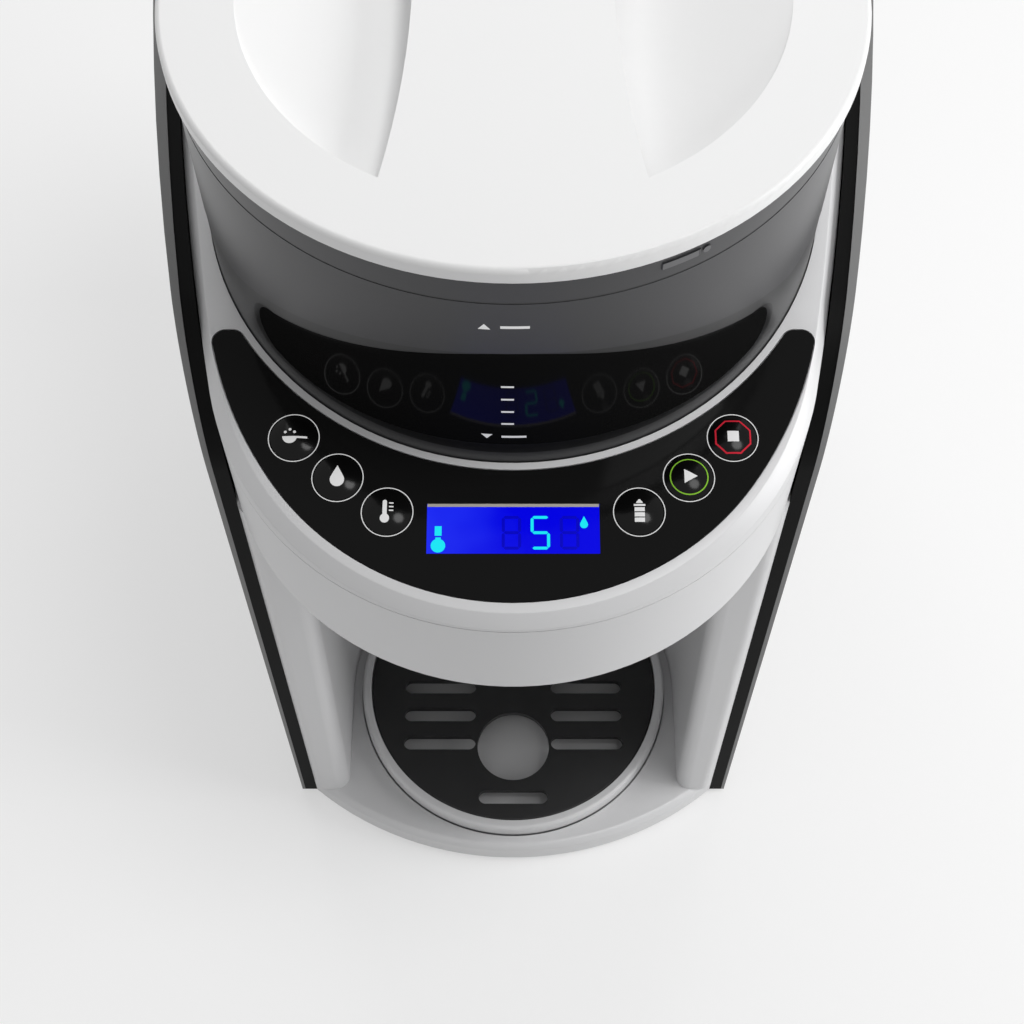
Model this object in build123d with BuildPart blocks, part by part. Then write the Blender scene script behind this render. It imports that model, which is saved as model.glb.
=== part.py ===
from build123d import *
import os
from math import atan2, cos, pi, radians, sin, sqrt, tan

os.makedirs("parts", exist_ok=True)

# Baby formula maker. Millimetres, +Z up, the front faces -Y. The origin is on the table, under the
# middle of the overall box. The powder container's axis stands a little in front of it.

# ---------------------------------------------------------------- clearances and cutting reach
gap = 0.3
run_fit = 0.06
overrun = 20.0
beyond = 400.0

# ---------------------------------------------------------------- levels above the table
foot_h = 3.0
base_top_z = 14.0
grid_top_z = 20.0
head_bottom_z = 214.3
axis_deck_z = 275.9
deck_tilt = 7.9
shelf_z = 150.0
tank_top_z = 341.0
collar_z = 337.4
collar_h = 10.6
lid_t = 4.5
lid_z = collar_z + collar_h
lid_top_z = lid_z + lid_t

# ---------------------------------------------------------------- powder container and pocket
powder_y = -22.0
container_r = 91.0
container_wall = 2.5
container_bore_r = container_r - container_wall
skirt_bore_r = container_bore_r - 0.2
liner_t = 1.2
liner_drop = 4.0
floor_r = skirt_bore_r - liner_t
skirt_r = container_r - 0.25
pocket_r = container_r + 0.2
pocket_wall = 2.8
pocket_floor_z = 240.5
bush_r = 9.0
floor_t = 2.5
skirt_bottom_z = pocket_floor_z + gap
dosing_floor_z = 243.5
dosing_floor_t = 3.0
shoulder_peak_z = 316.6
shoulder_end_z = 295.5
shoulder_side = 15.0
shoulder_end_x = container_r - shoulder_side
wheel_clear = 3.1
wheel_lift = 0.5
wheel_r = floor_r - wheel_clear
wheel_z = dosing_floor_z + dosing_floor_t + wheel_lift
wheel_t = 7.0
dose_r = 9.5
dose_edge = 4.5
dose_count = 8
dose_circle_r = wheel_r - dose_r - dose_edge
outlet_r = 13.0
outlet_step = 1.0
outlet_y = powder_y - dose_circle_r
scraper_t = 1.6
scraper_lift = 0.6
scraper_span = 50.0
scraper_in_r = 40.0
spindle_r = 6.0
spindle_clear = 0.6
spindle_tail = 6.0
spindle_head = 22.0
stirrer_lift = 6.0
stirrer_hub_r = 11.0
stirrer_hub_h = 18.0
stirrer_arms = 3
arm_in_r = 9.0
arm_end_clear = 5.0
arm_out_r = wheel_r - arm_end_clear
arm_w = 5.0
arm_t = 4.0
blade_w = 10.0
blade_h = 34.0
lid_overhang = 1.6
lid_r = container_r + lid_overhang
lid_skirt_r = container_bore_r - 0.9
lid_skirt_t = 2.5
lid_skirt_h = 7.0
lid_edge_r = 1.6
seal_t = 2.0
seal_h = 3.0
recess_edge = 18.8
recess_r = container_r - recess_edge
recess_depth = 13.0
recess_wall = 2.2
bar_half_end = 32.5
bar_half_mid = 26.1
collar_bore_r = lid_skirt_r + 0.6
collar_groove = 0.4
collar_groove_h = 0.8
lock_bar_turn = 26.3
lock_bar_span = 6.2
lock_dot_turn = 30.9
lock_mark_h = 2.2
lock_mark_rise = 0.4

# ---------------------------------------------------------------- plan, front to rear
head_y = powder_y - 49.0
tray_y = powder_y - 55.0
bottle_y = powder_y - 82.3
foot_y = powder_y - 95.0
cheek_y = powder_y - 68.0
waist_y = powder_y + 18.0
deck_margin = 7.0
deck_back_y = powder_y + container_r + deck_margin
corner_y = 148.0
back_y = 160.0

# ---------------------------------------------------------------- body walls
head_tuck = 2.0
head_r = container_r - head_tuck
flank_w = 10.2
waist_x = container_r + flank_w
rear_flare = 7.4
corner_x = waist_x + rear_flare
bay_half_w = 67.0
column_w = 14.5
foot_x = bay_half_w + column_w
trim_w_foot = 4.9
trim_w = 3.8
casing_wall_foot = 1.2
casing_wall = 3.3
notch_z = 168.0
notch_half_w = 58.0
rear_corner_r = 34.0
shell_wall = 2.8
rim_h = 4.75
seam_z = axis_deck_z - (powder_y - head_y + head_r) * tan(radians(deck_tilt)) - rim_h
rim_flat = 3.2
rim_drop = 3.6
rim_edge_r = 0.6
deck_widening = 6.2
side_gap = 0.2
column_lead = 5.0
column_round = 5.5
trim_depth = 6.0
trim_drop = 0.6
roof_t = 3.2
knee_z = 204.0
knee_y = powder_y - 77.0
shoulder_r = 44.0
column_reach = 12.0
column_front_extra = 1.0
casing_toe_y = foot_y + 8.0
casing_toe_h = 5.0
notch_depth = 31.0
vent_z = 105.0
vent_count = 11
vent_pitch = 7.0
vent_len = 34.0
vent_w = 2.6

# ---------------------------------------------------------------- bottle bay and drip tray
bay_r = bay_half_w
tray_side = 4.0
tray_r = bay_r - tray_side
grid_side = 4.0
grid_r = tray_r - grid_side
tray_floor_z = 8.0
tray_wall = 2.2
tray_clear = 0.6
tray_seat = 0.2
tray_foot_inset = 1.4
tray_rim_seat = 0.4
tray_rim_rise = 1.0
tray_edge_r = 1.6
grid_t = 3.0
grid_seat = 0.1
grid_ledge = 2.5
grid_edge_r = 0.8
grid_hole_r = 14.7
slot_w = 5.6
slot_pitch = 12.4
slot_row_count = 6
slot_first_y = powder_y - 81.0
slot_in_x = 15.5
slot_out_x = 45.0
front_slot_len = 28.0
front_slot_y = powder_y - 104.2
base_bow = 29.0
base_wall = 2.5
base_edge_r = 3.0
plate_clear = 0.1

# ---------------------------------------------------------------- drive
gear_module = 1.5
gear_teeth = 48
pinion_teeth = 12
pressure_angle = 20.0
root_depth = 1.25
gear_w = 8.0
gear_z = 226.0
backlash = 0.12
gear_hole_r = 6.0
gear_hole_circle_r = 21.0
gear_hole_count = 6
pinion_y = powder_y + gear_module * (gear_teeth + pinion_teeth) / 2
motor_r = 17.0
motor_len = 48.0
motor_boss_t = 5.0
motor_shaft_r = 2.5
motor_shaft_len = 9.0
bush_flange = 3.0
bush_flange_t = 1.5
bracket_y = powder_y + 30.0
bracket_w = 92.0
bracket_len = 108.0
bracket_r = 10.0
bracket_t = 2.5
bracket_z = gear_z - 4.0
bracket_post_r = 4.0
bracket_post_inset = 6.0
bracket_clear_r = 6.0

# ---------------------------------------------------------------- control panel
ring_w = 2.3
ring_r = pocket_r + ring_w
rim_w = 6.4
panel_r = head_r - rim_w
panel_turn_in = 15.8
panel_turn_x = panel_r - panel_turn_in
panel_tip_in = 2.8
panel_tip_x = head_r - panel_tip_in
panel_tip_y = powder_y - 55.8
panel_end_y = powder_y - 50.0
panel_tip_r = 3.6
panel_t = 1.0
button_r = 6.7
button_gap = 0.3
button_rise = 1.4
button_travel = 0.8
button_dome_r = (button_r**2 + button_rise**2) / (2 * button_rise)
flange_t = 1.0
flange_r = 8.2
flange_drop = 0.1
display_w = 47.6
display_h = 14.6
display_out = 17.1
display_y = powder_y - ring_r - display_out
display_clear = 1.0
module_margin = 0.7
board_depth = 9.6
board_t = 1.6
board_back_y = head_y + 5.0
board_inset = 4.0
post_x = 26.0
post_in_y = ring_r + 2.5
post_out_y = ring_r + 32.5
post_r = 2.6
post_bore_r = 1.0
post_spots = [(-post_x, -post_in_y), (post_x, -post_in_y), (0, -post_out_y)]
tact_w = 6.0
tact_clear = 0.5
window_side = 20.0
window_half_w = container_r - window_side
window_bottom_z = 272.4
window_end_z = 274.4
window_drop = 2.2
window_top_r = 8.0
window_low_r = 4.0
window_shoulder_drop = 3.0
window_inset = 0.8
window_proud = 0.1
frame_w = 1.3
sill_h = 4.8
sill_step = 0.2
key_in_turn = 18.24
key_in_out = 17.85
key_mid_turn = 27.11
key_mid_out = 13.9
key_out_turn = 36.41
key_out_out = 10.44

# ---------------------------------------------------------------- funnel
rail_x = 47.0
rail_w = 4.0
rail_lip = 3.5
rail_lip_t = 1.4
rail_drop = 8.0
rail_front_y = bottle_y - 27.0
rail_back_y = powder_y - 26.0
holder_z = head_bottom_z - rail_drop + rail_lip_t + 0.2
holder_t = 3.0
holder_inset = 9.0
holder_grip_h = 9.0
holder_grip_clear = 1.0
holder_back_y = rail_back_y - 4.0
funnel_port_r = 38.0
funnel_mouth_r = 40.0
funnel_seat = 3.0
funnel_seat_clear = 0.5
funnel_lip_t = 1.2
funnel_spout_r = 9.0
funnel_spout_h = 8.0
funnel_bottom_z = 184.0
funnel_wall = 2.0
chute_wall = 2.0
chute_drop = 2.0
nozzle_x = 26.0
nozzle_y = bottle_y + 20.0
nozzle_r = 4.0
nozzle_drop = 4.0
nozzle_arm_len = 16.0
nozzle_arm_w = 8.0
nozzle_arm_h = 5.0
nozzle_arm_lift = 2.0
nozzle_body_w = 26.0
nozzle_body_len = 20.0
nozzle_body_h = 8.0
nozzle_body_r = 3.0

# ---------------------------------------------------------------- water tank
tank_clear = 1.0
tank_wall = 2.5
tank_front_y = deck_back_y + 2.6
tank_corner_r = 14.0
tank_foot_r = 4.0
shelf_t = 2.5
stub_r = 8.0
stub_wall = 2.5
stub_len = 8.0
stub_clear = 1.0
valve_wall = 2.0
cup_wall = 3.0
cup_depth = 12.0
cup_floor_t = 2.0
outlet_tank_y = 118.0
tank_lid_t = 4.0
hinge_y = 146.0
hinge_pin_r = 1.6
hinge_pin_len = 58.0
hinge_bore_len = 70.0
hinge_lift = 0.4
knuckle_r = 3.2
lid_swing_gap = 0.5
bridge_knuckle_r = 2.6
bridge_knuckle_x = 24.0
bridge_knuckle_w = 10.0
bridge_web_len = 7.0
lid_knuckle_x = 12.0
lid_knuckle_w = 12.0
lid_web_len = 5.0
hinge_z = tank_top_z + tank_lid_t / 2 + hinge_lift

# ---------------------------------------------------------------- water system and power board
pump_w = 44.0
pump_len = 36.0
pump_h = 26.0
pump_motor_r = 17.0
pump_top_z = base_top_z + 62.0
hose_r = 5.0
hose_bore_r = 3.0
heater_x = 62.0
heater_y = powder_y + 62.0
heater_w = 34.0
heater_len = 44.0
heater_h = 90.0
power_board_x = 58.0
power_board_len = 56.0
power_board_h = 100.0
coil_w = 14.0
coil_len = 18.0
coil_h = 22.0
coil_low_y = heater_y - 12.0
coil_low_z = base_top_z + 20.0
coil_high_y = heater_y + 14.0
coil_high_z = base_top_z + 60.0

# ---------------------------------------------------------------- fasteners and feet
rubber_r = 9.0
rubber_edge_r = 0.8
foot_front_x = foot_x - 15.5
foot_rear_x = corner_x - 24.6
foot_front_y = foot_y + 8.0
foot_rear_y = 120.0
screw_r = 1.6
screw_len = 8.0
screw_head_r = 3.0
screw_head_t = 1.5
screw_front_x = foot_x - 9.5
screw_rear_x = corner_x - 12.6
screw_front_y = foot_y + 26.0
screw_rear_y = 96.0
base_plate_t = 2.0
inlet_x = 56.0
inlet_w = 27.0
inlet_h = 20.0
inlet_depth = 24.0
inlet_wall = 2.5
inlet_corner_r = 3.0
inlet_floor_t = 4.0
blade_half_pitch = 7.0
blade_offset = 2.0
blade_long = 4.0
blade_thick = 2.0
blade_set_back = 6.0
switch_w = 13.0
switch_h = 19.0
switch_depth = 18.0
rear_fit_z = 42.0
rear_flange = 2.5
rear_flange_t = 3.0
rear_flange_r = 2.0
rear_clear = 0.1
rear_set_back = 1.2
rear_face_y = back_y - rear_set_back
switch_wall = 1.5
switch_floor_t = 6.0
rocker_w = switch_w - 2 * switch_wall
rocker_h = switch_h - 2 * switch_wall
rocker_t = 6.0
rocker_end_inset = 1.0
rocker_end_dip = 0.4
rocker_mid_dip = 2.4
rocker_pivot_r = 1.2
rocker_pivot_len = 0.8
pivot_y = rear_face_y - 4.0
foot_spots = [
    (-foot_front_x, foot_front_y),
    (foot_front_x, foot_front_y),
    (-foot_rear_x, foot_rear_y),
    (foot_rear_x, foot_rear_y),
]
screw_spots = [
    (-screw_front_x, screw_front_y),
    (screw_front_x, screw_front_y),
    (-screw_rear_x, screw_rear_y),
    (screw_rear_x, screw_rear_y),
]

deck_plane = Plane(
    origin=(0, powder_y, axis_deck_z),
    x_dir=(1, 0, 0),
    z_dir=(0, -sin(radians(deck_tilt)), cos(radians(deck_tilt))),
)


def deck_at(y):
    """Height of the sloping deck at a place along Y."""
    return axis_deck_z + (y - powder_y) * tan(radians(deck_tilt))


def on_deck(x, y_from_axis):
    """Deck-plane coordinates of a point given in plan, measured from the container's axis."""
    return (x, y_from_axis / cos(radians(deck_tilt)))


def key_spot(turn, out):
    """Place of a key in plan from the container's axis: turned from the front, out from the ring."""
    reach = ring_r + out
    return (reach * sin(radians(turn)), -reach * cos(radians(turn)))


button_spots = {
    "powder": key_spot(-key_out_turn, key_out_out),
    "water": key_spot(-key_mid_turn, key_mid_out),
    "temperature": key_spot(-key_in_turn, key_in_out),
    "volume": key_spot(key_in_turn, key_in_out),
    "start": key_spot(key_mid_turn, key_mid_out),
    "stop": key_spot(key_out_turn, key_out_out),
}


# ================================================================ plan outlines
def body_plan(inset_foot, inset_waist, inset_back, reach=0.0, bow=0.0):
    """Body seen from above: sides that widen towards the rear, a bowed back, rounded rear corners.

    The sides start at the foot line, or reach straight on past it, and close with a line or a bow.
    """
    near_x = foot_x + trim_w_foot + casing_wall_foot - inset_foot
    mid_x = waist_x + trim_w + casing_wall - inset_waist
    far_x = corner_x + trim_w + casing_wall - inset_back
    far_y = corner_y - inset_back
    with BuildSketch() as plan:
        with BuildLine():
            right = ThreePointArc((near_x, foot_y), (mid_x, waist_y), (far_x, far_y))
            back = ThreePointArc(right @ 1, (0, back_y - inset_back), (-far_x, far_y))
            left = ThreePointArc(back @ 1, (-mid_x, waist_y), (-near_x, foot_y))
            start, end = right @ 0, left @ 1
            if reach > 0:
                start = Line(start - (right % 0) * reach, start) @ 0
                end = Line(end, end + (left % 1) * reach) @ 1
            if bow > 0:
                ThreePointArc(end, (0, foot_y - bow), start)
            else:
                Line(end, start)
        make_face()
        corners = plan.vertices().filter_by_position(Axis.Y, corner_y - overrun, back_y)
        fillet(corners, radius=rear_corner_r - inset_back)
    return plan.sketch


def head_plan(inset=0.0):
    """Head seen from above: a round front that runs on into the widening sides."""
    front_r = head_r - inset
    turn_x = sqrt(head_r**2 - (cheek_y - head_y) ** 2) - inset
    back_x = waist_x + deck_widening - side_gap - inset
    side_x = waist_x - side_gap - inset
    with BuildSketch() as plan:
        with BuildLine():
            right = ThreePointArc(
                (turn_x, cheek_y), (side_x, waist_y), (back_x, deck_back_y - inset)
            )
            back = Line(right @ 1, (-back_x, deck_back_y - inset))
            left = ThreePointArc(back @ 1, (-side_x, waist_y), (-turn_x, cheek_y))
            ThreePointArc(left @ 1, (0, head_y - front_r), right @ 0)
        make_face()
    return plan.sketch


def panel_plan(shrink=0.0):
    """Crescent-shaped control panel in plan, between the pocket's ring and the head's rim."""
    front_r = panel_r + shrink
    turn_y = head_y - sqrt(panel_r**2 - panel_turn_x**2)
    inner_r = ring_r - shrink
    with BuildSketch() as plan:
        with BuildLine():
            front = ThreePointArc(
                (0, head_y - front_r),
                (front_r * sin(radians(28)), head_y - front_r * cos(radians(28))),
                (panel_turn_x + shrink * 0.8, turn_y - shrink * 0.6),
            )
            flank = TangentArc(front @ 1, (panel_tip_x + shrink, panel_tip_y), tangent=front % 1)
            tip = Line(flank @ 1, (panel_tip_x + shrink + 1.2, panel_end_y + shrink))
            end_x = sqrt(inner_r**2 - (panel_end_y + shrink - powder_y) ** 2)
            end = Line(tip @ 1, (end_x, panel_end_y + shrink))
            mid_turn = radians(30)
            inner = ThreePointArc(
                end @ 1,
                (inner_r * sin(mid_turn), powder_y - inner_r * cos(mid_turn)),
                (0, powder_y - inner_r),
            )
            Line(inner @ 1, front @ 0)
        make_face()
        fillet(plan.vertices().sort_by(Axis.Y)[-2:], radius=panel_tip_r + shrink)
        mirror(about=Plane.YZ)
    return plan.sketch


def window_face(grow=0.0, sill=0.0):
    """Front view of the container's window: arched top edge, nearly straight bottom, rounded ends."""
    half = window_half_w + grow
    end_z = shoulder_end_z - window_shoulder_drop + grow
    low_z = window_end_z - grow - sill
    with BuildSketch() as face:
        with BuildLine():
            top = ThreePointArc(
                (-half, end_z), (0, shoulder_peak_z - window_drop + grow), (half, end_z)
            )
            right = Line(top @ 1, (half, low_z))
            low = ThreePointArc(
                right @ 1, (0, window_bottom_z - grow - sill), (-half, low_z)
            )
            Line(low @ 1, top @ 0)
        make_face()
        fillet(face.vertices().group_by(Axis.Y)[-1], radius=window_top_r)
        fillet(face.vertices().group_by(Axis.Y)[0], radius=window_low_r)
    return face.sketch


def edge_side(lead=0.0, drop=0.0):
    """Side view of what lies behind the body's leaning front edge and below its sloping top edge."""
    lean = (knee_y - foot_y) / knee_z
    corner_z = deck_at(foot_y + lean * deck_at(foot_y)) - drop
    corner = (foot_y + lean * corner_z - lead, corner_z)
    rear_y = back_y + overrun
    rear = (rear_y, deck_at(rear_y) - drop)
    with BuildSketch(Plane.YZ) as side:
        with BuildLine():
            path = FilletPolyline(
                (foot_y - lead - lean * overrun, -overrun), corner, rear, radius=shoulder_r
            )
            Polyline(path @ 1, (rear_y, -overrun), path @ 0)
        make_face()
    return side.sketch


casing_insets = (0.0, 0.0, 0.0)
trim_insets = (casing_wall_foot, casing_wall, casing_wall)
column_insets = (
    casing_wall_foot + trim_w_foot,
    casing_wall + trim_w,
    casing_wall + trim_w,
)

# ================================================================ base
def base_plan(inset=0.0):
    """Base seen from above: the body's inner plan with a bowed front."""
    with BuildSketch() as plan:
        add(body_plan(*column_insets, bow=base_bow))
        if inset > 0:
            offset(amount=-inset)
    return plan.sketch


with BuildPart() as base_shell:
    with BuildSketch(Plane.XY.offset(foot_h)):
        add(base_plan())
    extrude(amount=base_top_z - foot_h)
    fillet(base_shell.faces().sort_by(Axis.Z)[-1].edges().sort_by(Axis.Y)[0], radius=base_edge_r)
    with BuildSketch(Plane.XY.offset(foot_h)):
        add(base_plan(base_wall))
    extrude(amount=base_top_z - foot_h - base_wall, mode=Mode.SUBTRACT)
    with Locations((0, tray_y, tray_floor_z - base_wall)):
        Cylinder(
            tray_r + tray_clear + base_wall, base_top_z - tray_floor_z + base_wall,
            align=(Align.CENTER, Align.CENTER, Align.MIN),
        )
    with Locations((0, tray_y, tray_floor_z)):
        Cylinder(
            tray_r + tray_clear, base_top_z,
            align=(Align.CENTER, Align.CENTER, Align.MIN), mode=Mode.SUBTRACT,
        )
base_shell.part.label = "base_shell"
export_step(base_shell.part, "parts/base_shell.step")

with BuildPart() as base_plate:
    with BuildSketch(Plane.XY.offset(foot_h)):
        add(base_plan(base_wall + plate_clear))
        with Locations(*screw_spots):
            Circle(screw_r, mode=Mode.SUBTRACT)
    extrude(amount=base_plate_t)
base_plate.part.label = "base_plate"
export_step(base_plate.part, "parts/base_plate.step")

with BuildPart() as rubber_feet:
    with Locations(*[(x, y, 0) for x, y in foot_spots]):
        Cylinder(rubber_r, foot_h, align=(Align.CENTER, Align.CENTER, Align.MIN))
    fillet(rubber_feet.faces().filter_by(Axis.Z).group_by(Axis.Z)[0].edges(), radius=rubber_edge_r)
rubber_feet.part.label = "rubber_feet"
export_step(rubber_feet.part, "parts/rubber_feet.step")

with BuildPart() as base_screws:
    with Locations(*[(x, y, foot_h - screw_head_t) for x, y in screw_spots]):
        Cylinder(screw_head_r, screw_head_t, align=(Align.CENTER, Align.CENTER, Align.MIN))
        Cylinder(screw_r, screw_len, align=(Align.CENTER, Align.CENTER, Align.MIN))
base_screws.part.label = "base_screws"
export_step(base_screws.part, "parts/base_screws.step")


# ================================================================ columns and rear casing
def column_plan(inset=0.0):
    """Two columns and the wall behind the bottle bay, from above."""
    with BuildSketch() as plan:
        add(body_plan(*column_insets, reach=column_reach))
        with Locations((0, deck_back_y + beyond / 2)):
            Rectangle(beyond, beyond, mode=Mode.SUBTRACT)
        with Locations((0, tray_y)):
            Circle(bay_r, mode=Mode.SUBTRACT)
        with Locations((0, tray_y - beyond / 2)):
            Rectangle(2 * bay_half_w, beyond, mode=Mode.SUBTRACT)
        if inset > 0:
            offset(amount=-inset)
    return plan.sketch


with BuildPart() as column_housing:
    with BuildSketch(Plane.XY.offset(base_top_z)):
        add(column_plan())
    extrude(amount=head_bottom_z - base_top_z)
    extrude(edge_side(lead=column_lead), amount=beyond, both=True, mode=Mode.INTERSECT)
    front_edges = column_housing.edges().filter_by(
        lambda e: e.length > 0.7 * (head_bottom_z - base_top_z) and e.center().Y < foot_y + overrun
    )
    fillet(front_edges, radius=column_round)
    with BuildSketch(Plane.XY.offset(base_top_z)):
        add(column_plan(shell_wall))
    hollow = extrude(amount=head_bottom_z - base_top_z, mode=Mode.PRIVATE)
    hollow = hollow & extrude(
        edge_side(lead=column_lead - shell_wall - column_front_extra),
        amount=beyond, both=True, mode=Mode.PRIVATE,
    )
    add(hollow, mode=Mode.SUBTRACT)
column_housing.part.label = "column_housing"
export_step(column_housing.part, "parts/column_housing.step")

with BuildPart() as rear_casing:
    with BuildSketch(Plane.XY.offset(foot_h)):
        add(body_plan(*casing_insets))
        add(body_plan(*trim_insets), mode=Mode.SUBTRACT)
    extrude(amount=beyond)
    extrude(edge_side(), amount=beyond, both=True, mode=Mode.INTERSECT)
    with BuildSketch(Plane.XY.offset(foot_h)):
        add(body_plan(*trim_insets))
        add(body_plan(*column_insets), mode=Mode.SUBTRACT)
        with Locations((0, casing_toe_y - beyond / 2)):
            Rectangle(beyond, beyond, mode=Mode.SUBTRACT)
    extrude(amount=casing_toe_h)
    with Locations((0, back_y, notch_z)):
        Box(
            2 * notch_half_w, 2 * notch_depth, beyond,
            align=(Align.CENTER, Align.CENTER, Align.MIN), mode=Mode.SUBTRACT,
        )
    with BuildSketch(Plane.XZ.offset(-back_y)):
        with Locations((inlet_x, rear_fit_z)):
            Rectangle(inlet_w, inlet_h)
        with Locations((-inlet_x, rear_fit_z)):
            Rectangle(switch_w, switch_h)
        with Locations((0, vent_z)):
            with GridLocations(vent_pitch, vent_pitch, vent_count, 1):
                SlotOverall(vent_len, vent_w, rotation=90)
    extrude(amount=overrun, mode=Mode.SUBTRACT)
    with BuildSketch(Plane.XZ.offset(-back_y)):
        flange = rear_flange + rear_clear
        with Locations((inlet_x, rear_fit_z)):
            RectangleRounded(inlet_w + 2 * flange, inlet_h + 2 * flange, rear_flange_r + rear_clear)
        with Locations((-inlet_x, rear_fit_z)):
            RectangleRounded(switch_w + 2 * flange, switch_h + 2 * flange, rear_flange_r + rear_clear)
    extrude(amount=rear_set_back + rear_flange_t, mode=Mode.SUBTRACT)
rear_casing.part.label = "rear_casing"
export_step(rear_casing.part, "parts/rear_casing.step")

with BuildPart() as side_trims:
    with BuildSketch(Plane.XY.offset(foot_h)):
        add(body_plan(*trim_insets))
        add(body_plan(*column_insets), mode=Mode.SUBTRACT)
        with Locations((0, deck_back_y + beyond / 2)):
            Rectangle(beyond, beyond, mode=Mode.SUBTRACT)
    extrude(amount=beyond)
    extrude(edge_side(drop=trim_drop), amount=beyond, both=True, mode=Mode.INTERSECT)
    extrude(
        edge_side(lead=-trim_depth, drop=trim_depth), amount=beyond, both=True, mode=Mode.SUBTRACT
    )
side_trims.part.label = "side_trims"
export_step(side_trims.part, "parts/side_trims.step")

# ================================================================ head
with BuildPart() as front_band:
    with BuildSketch(Plane.XY.offset(head_bottom_z)):
        add(head_plan())
        add(head_plan(shell_wall), mode=Mode.SUBTRACT)
    extrude(amount=seam_z - gap - head_bottom_z)
front_band.part.label = "front_band"
export_step(front_band.part, "parts/front_band.step")

with BuildPart() as head_floor:
    with BuildSketch(Plane.XY.offset(head_bottom_z)):
        add(head_plan(shell_wall))
        with Locations((0, deck_back_y)):
            Rectangle(beyond, 2 * (deck_back_y - tray_y - bay_r), mode=Mode.SUBTRACT)
        with Locations((0, bottle_y)):
            Circle(funnel_port_r, mode=Mode.SUBTRACT)
    extrude(amount=floor_t)
    rail_len = rail_back_y - rail_front_y
    rail_mid_y = (rail_back_y + rail_front_y) / 2
    with BuildSketch(Plane.XY.offset(head_bottom_z - rail_drop)):
        with Locations((-rail_x, rail_mid_y), (rail_x, rail_mid_y)):
            Rectangle(rail_w, rail_len)
    extrude(amount=rail_drop)
    lip_x = rail_x - rail_w / 2 - rail_lip / 2
    with BuildSketch(Plane.XY.offset(head_bottom_z - rail_drop)):
        with Locations((-lip_x, rail_mid_y), (lip_x, rail_mid_y)):
            Rectangle(rail_lip, rail_len)
    extrude(amount=rail_lip_t)
head_floor.part.label = "head_floor"
export_step(head_floor.part, "parts/head_floor.step")

with BuildPart() as head_shell:
    with BuildSketch(Plane.XY.offset(seam_z)):
        add(head_plan())
    extrude(amount=beyond)
    split(bisect_by=deck_plane, keep=Keep.BOTTOM)
    top_face = head_shell.faces().filter_by(deck_plane).sort_by(Axis.Z)[-1]
    rim_edges = top_face.edges().sort_by(Axis.Y)[:-1]
    chamfer(rim_edges, length=rim_flat, length2=rim_drop, reference=top_face)
    rim_creases = head_shell.edges(Select.LAST).filter_by(lambda e: e.length > 2 * rim_drop)
    fillet(rim_creases, radius=rim_edge_r)
    with BuildSketch(Plane.XY.offset(seam_z)):
        add(head_plan(shell_wall))
    inside = extrude(amount=beyond, mode=Mode.PRIVATE)
    inside = split(inside, bisect_by=deck_plane.offset(-roof_t), keep=Keep.BOTTOM, mode=Mode.PRIVATE)
    add(inside, mode=Mode.SUBTRACT)
    with BuildSketch(Plane.XY.offset(seam_z)):
        with Locations((0, powder_y)):
            Circle(pocket_r)
    extrude(amount=beyond, mode=Mode.SUBTRACT)
    with BuildSketch(Plane.XY.offset(seam_z)):
        add(panel_plan(gap))
    pan = extrude(amount=beyond, mode=Mode.PRIVATE)
    pan = split(pan, bisect_by=deck_plane.offset(-panel_t), keep=Keep.TOP, mode=Mode.PRIVATE)
    add(pan, mode=Mode.SUBTRACT)
    with BuildSketch(deck_plane):
        with Locations(*[on_deck(x, y) for x, y in button_spots.values()]):
            Circle(button_r + button_gap)
        with Locations(on_deck(0, display_y - powder_y)):
            Rectangle(display_w + 2 * display_clear, display_h + 2 * display_clear)
    extrude(amount=-2 * roof_t, mode=Mode.SUBTRACT)
head_shell.part.label = "head_shell"
export_step(head_shell.part, "parts/head_shell.step")

with BuildPart() as container_pocket:
    with BuildSketch(Plane.XY.offset(pocket_floor_z - floor_t)):
        with Locations((0, powder_y)):
            Circle(pocket_r + pocket_wall)
    extrude(amount=beyond)
    split(bisect_by=deck_plane.offset(-roof_t), keep=Keep.BOTTOM)
    with BuildSketch(Plane.XY.offset(pocket_floor_z)):
        with Locations((0, powder_y)):
            Circle(pocket_r)
    extrude(amount=beyond, mode=Mode.SUBTRACT)
    with Locations((0, powder_y, pocket_floor_z)):
        Hole(bush_r)
    with Locations((0, outlet_y, pocket_floor_z)):
        Hole(outlet_r)
container_pocket.part.label = "container_pocket"
export_step(container_pocket.part, "parts/container_pocket.step")

with BuildPart() as control_overlay:
    with BuildSketch(Plane.XY.offset(seam_z)):
        add(panel_plan())
    extrude(amount=beyond)
    split(bisect_by=deck_plane, keep=Keep.BOTTOM)
    split(bisect_by=deck_plane.offset(-panel_t), keep=Keep.TOP)
    with BuildSketch(deck_plane):
        with Locations(*[on_deck(x, y) for x, y in button_spots.values()]):
            Circle(button_r + button_gap)
        with Locations(on_deck(0, display_y - powder_y)):
            Rectangle(display_w, display_h)
    extrude(amount=-2 * panel_t, mode=Mode.SUBTRACT)
control_overlay.part.label = "control_overlay"
export_step(control_overlay.part, "parts/control_overlay.step")

with BuildPart() as display_lens:
    with BuildSketch(deck_plane):
        with Locations(on_deck(0, display_y - powder_y)):
            Rectangle(display_w, display_h)
    extrude(amount=-panel_t)
display_lens.part.label = "display_lens"
export_step(display_lens.part, "parts/display_lens.step")

with BuildPart() as display_module:
    with BuildSketch(deck_plane.offset(-panel_t)):
        with Locations(on_deck(0, display_y - powder_y)):
            Rectangle(display_w + 2 * module_margin, display_h + 2 * module_margin)
    extrude(amount=-(board_depth - panel_t))
display_module.part.label = "display_module"
export_step(display_module.part, "parts/display_module.step")

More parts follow.
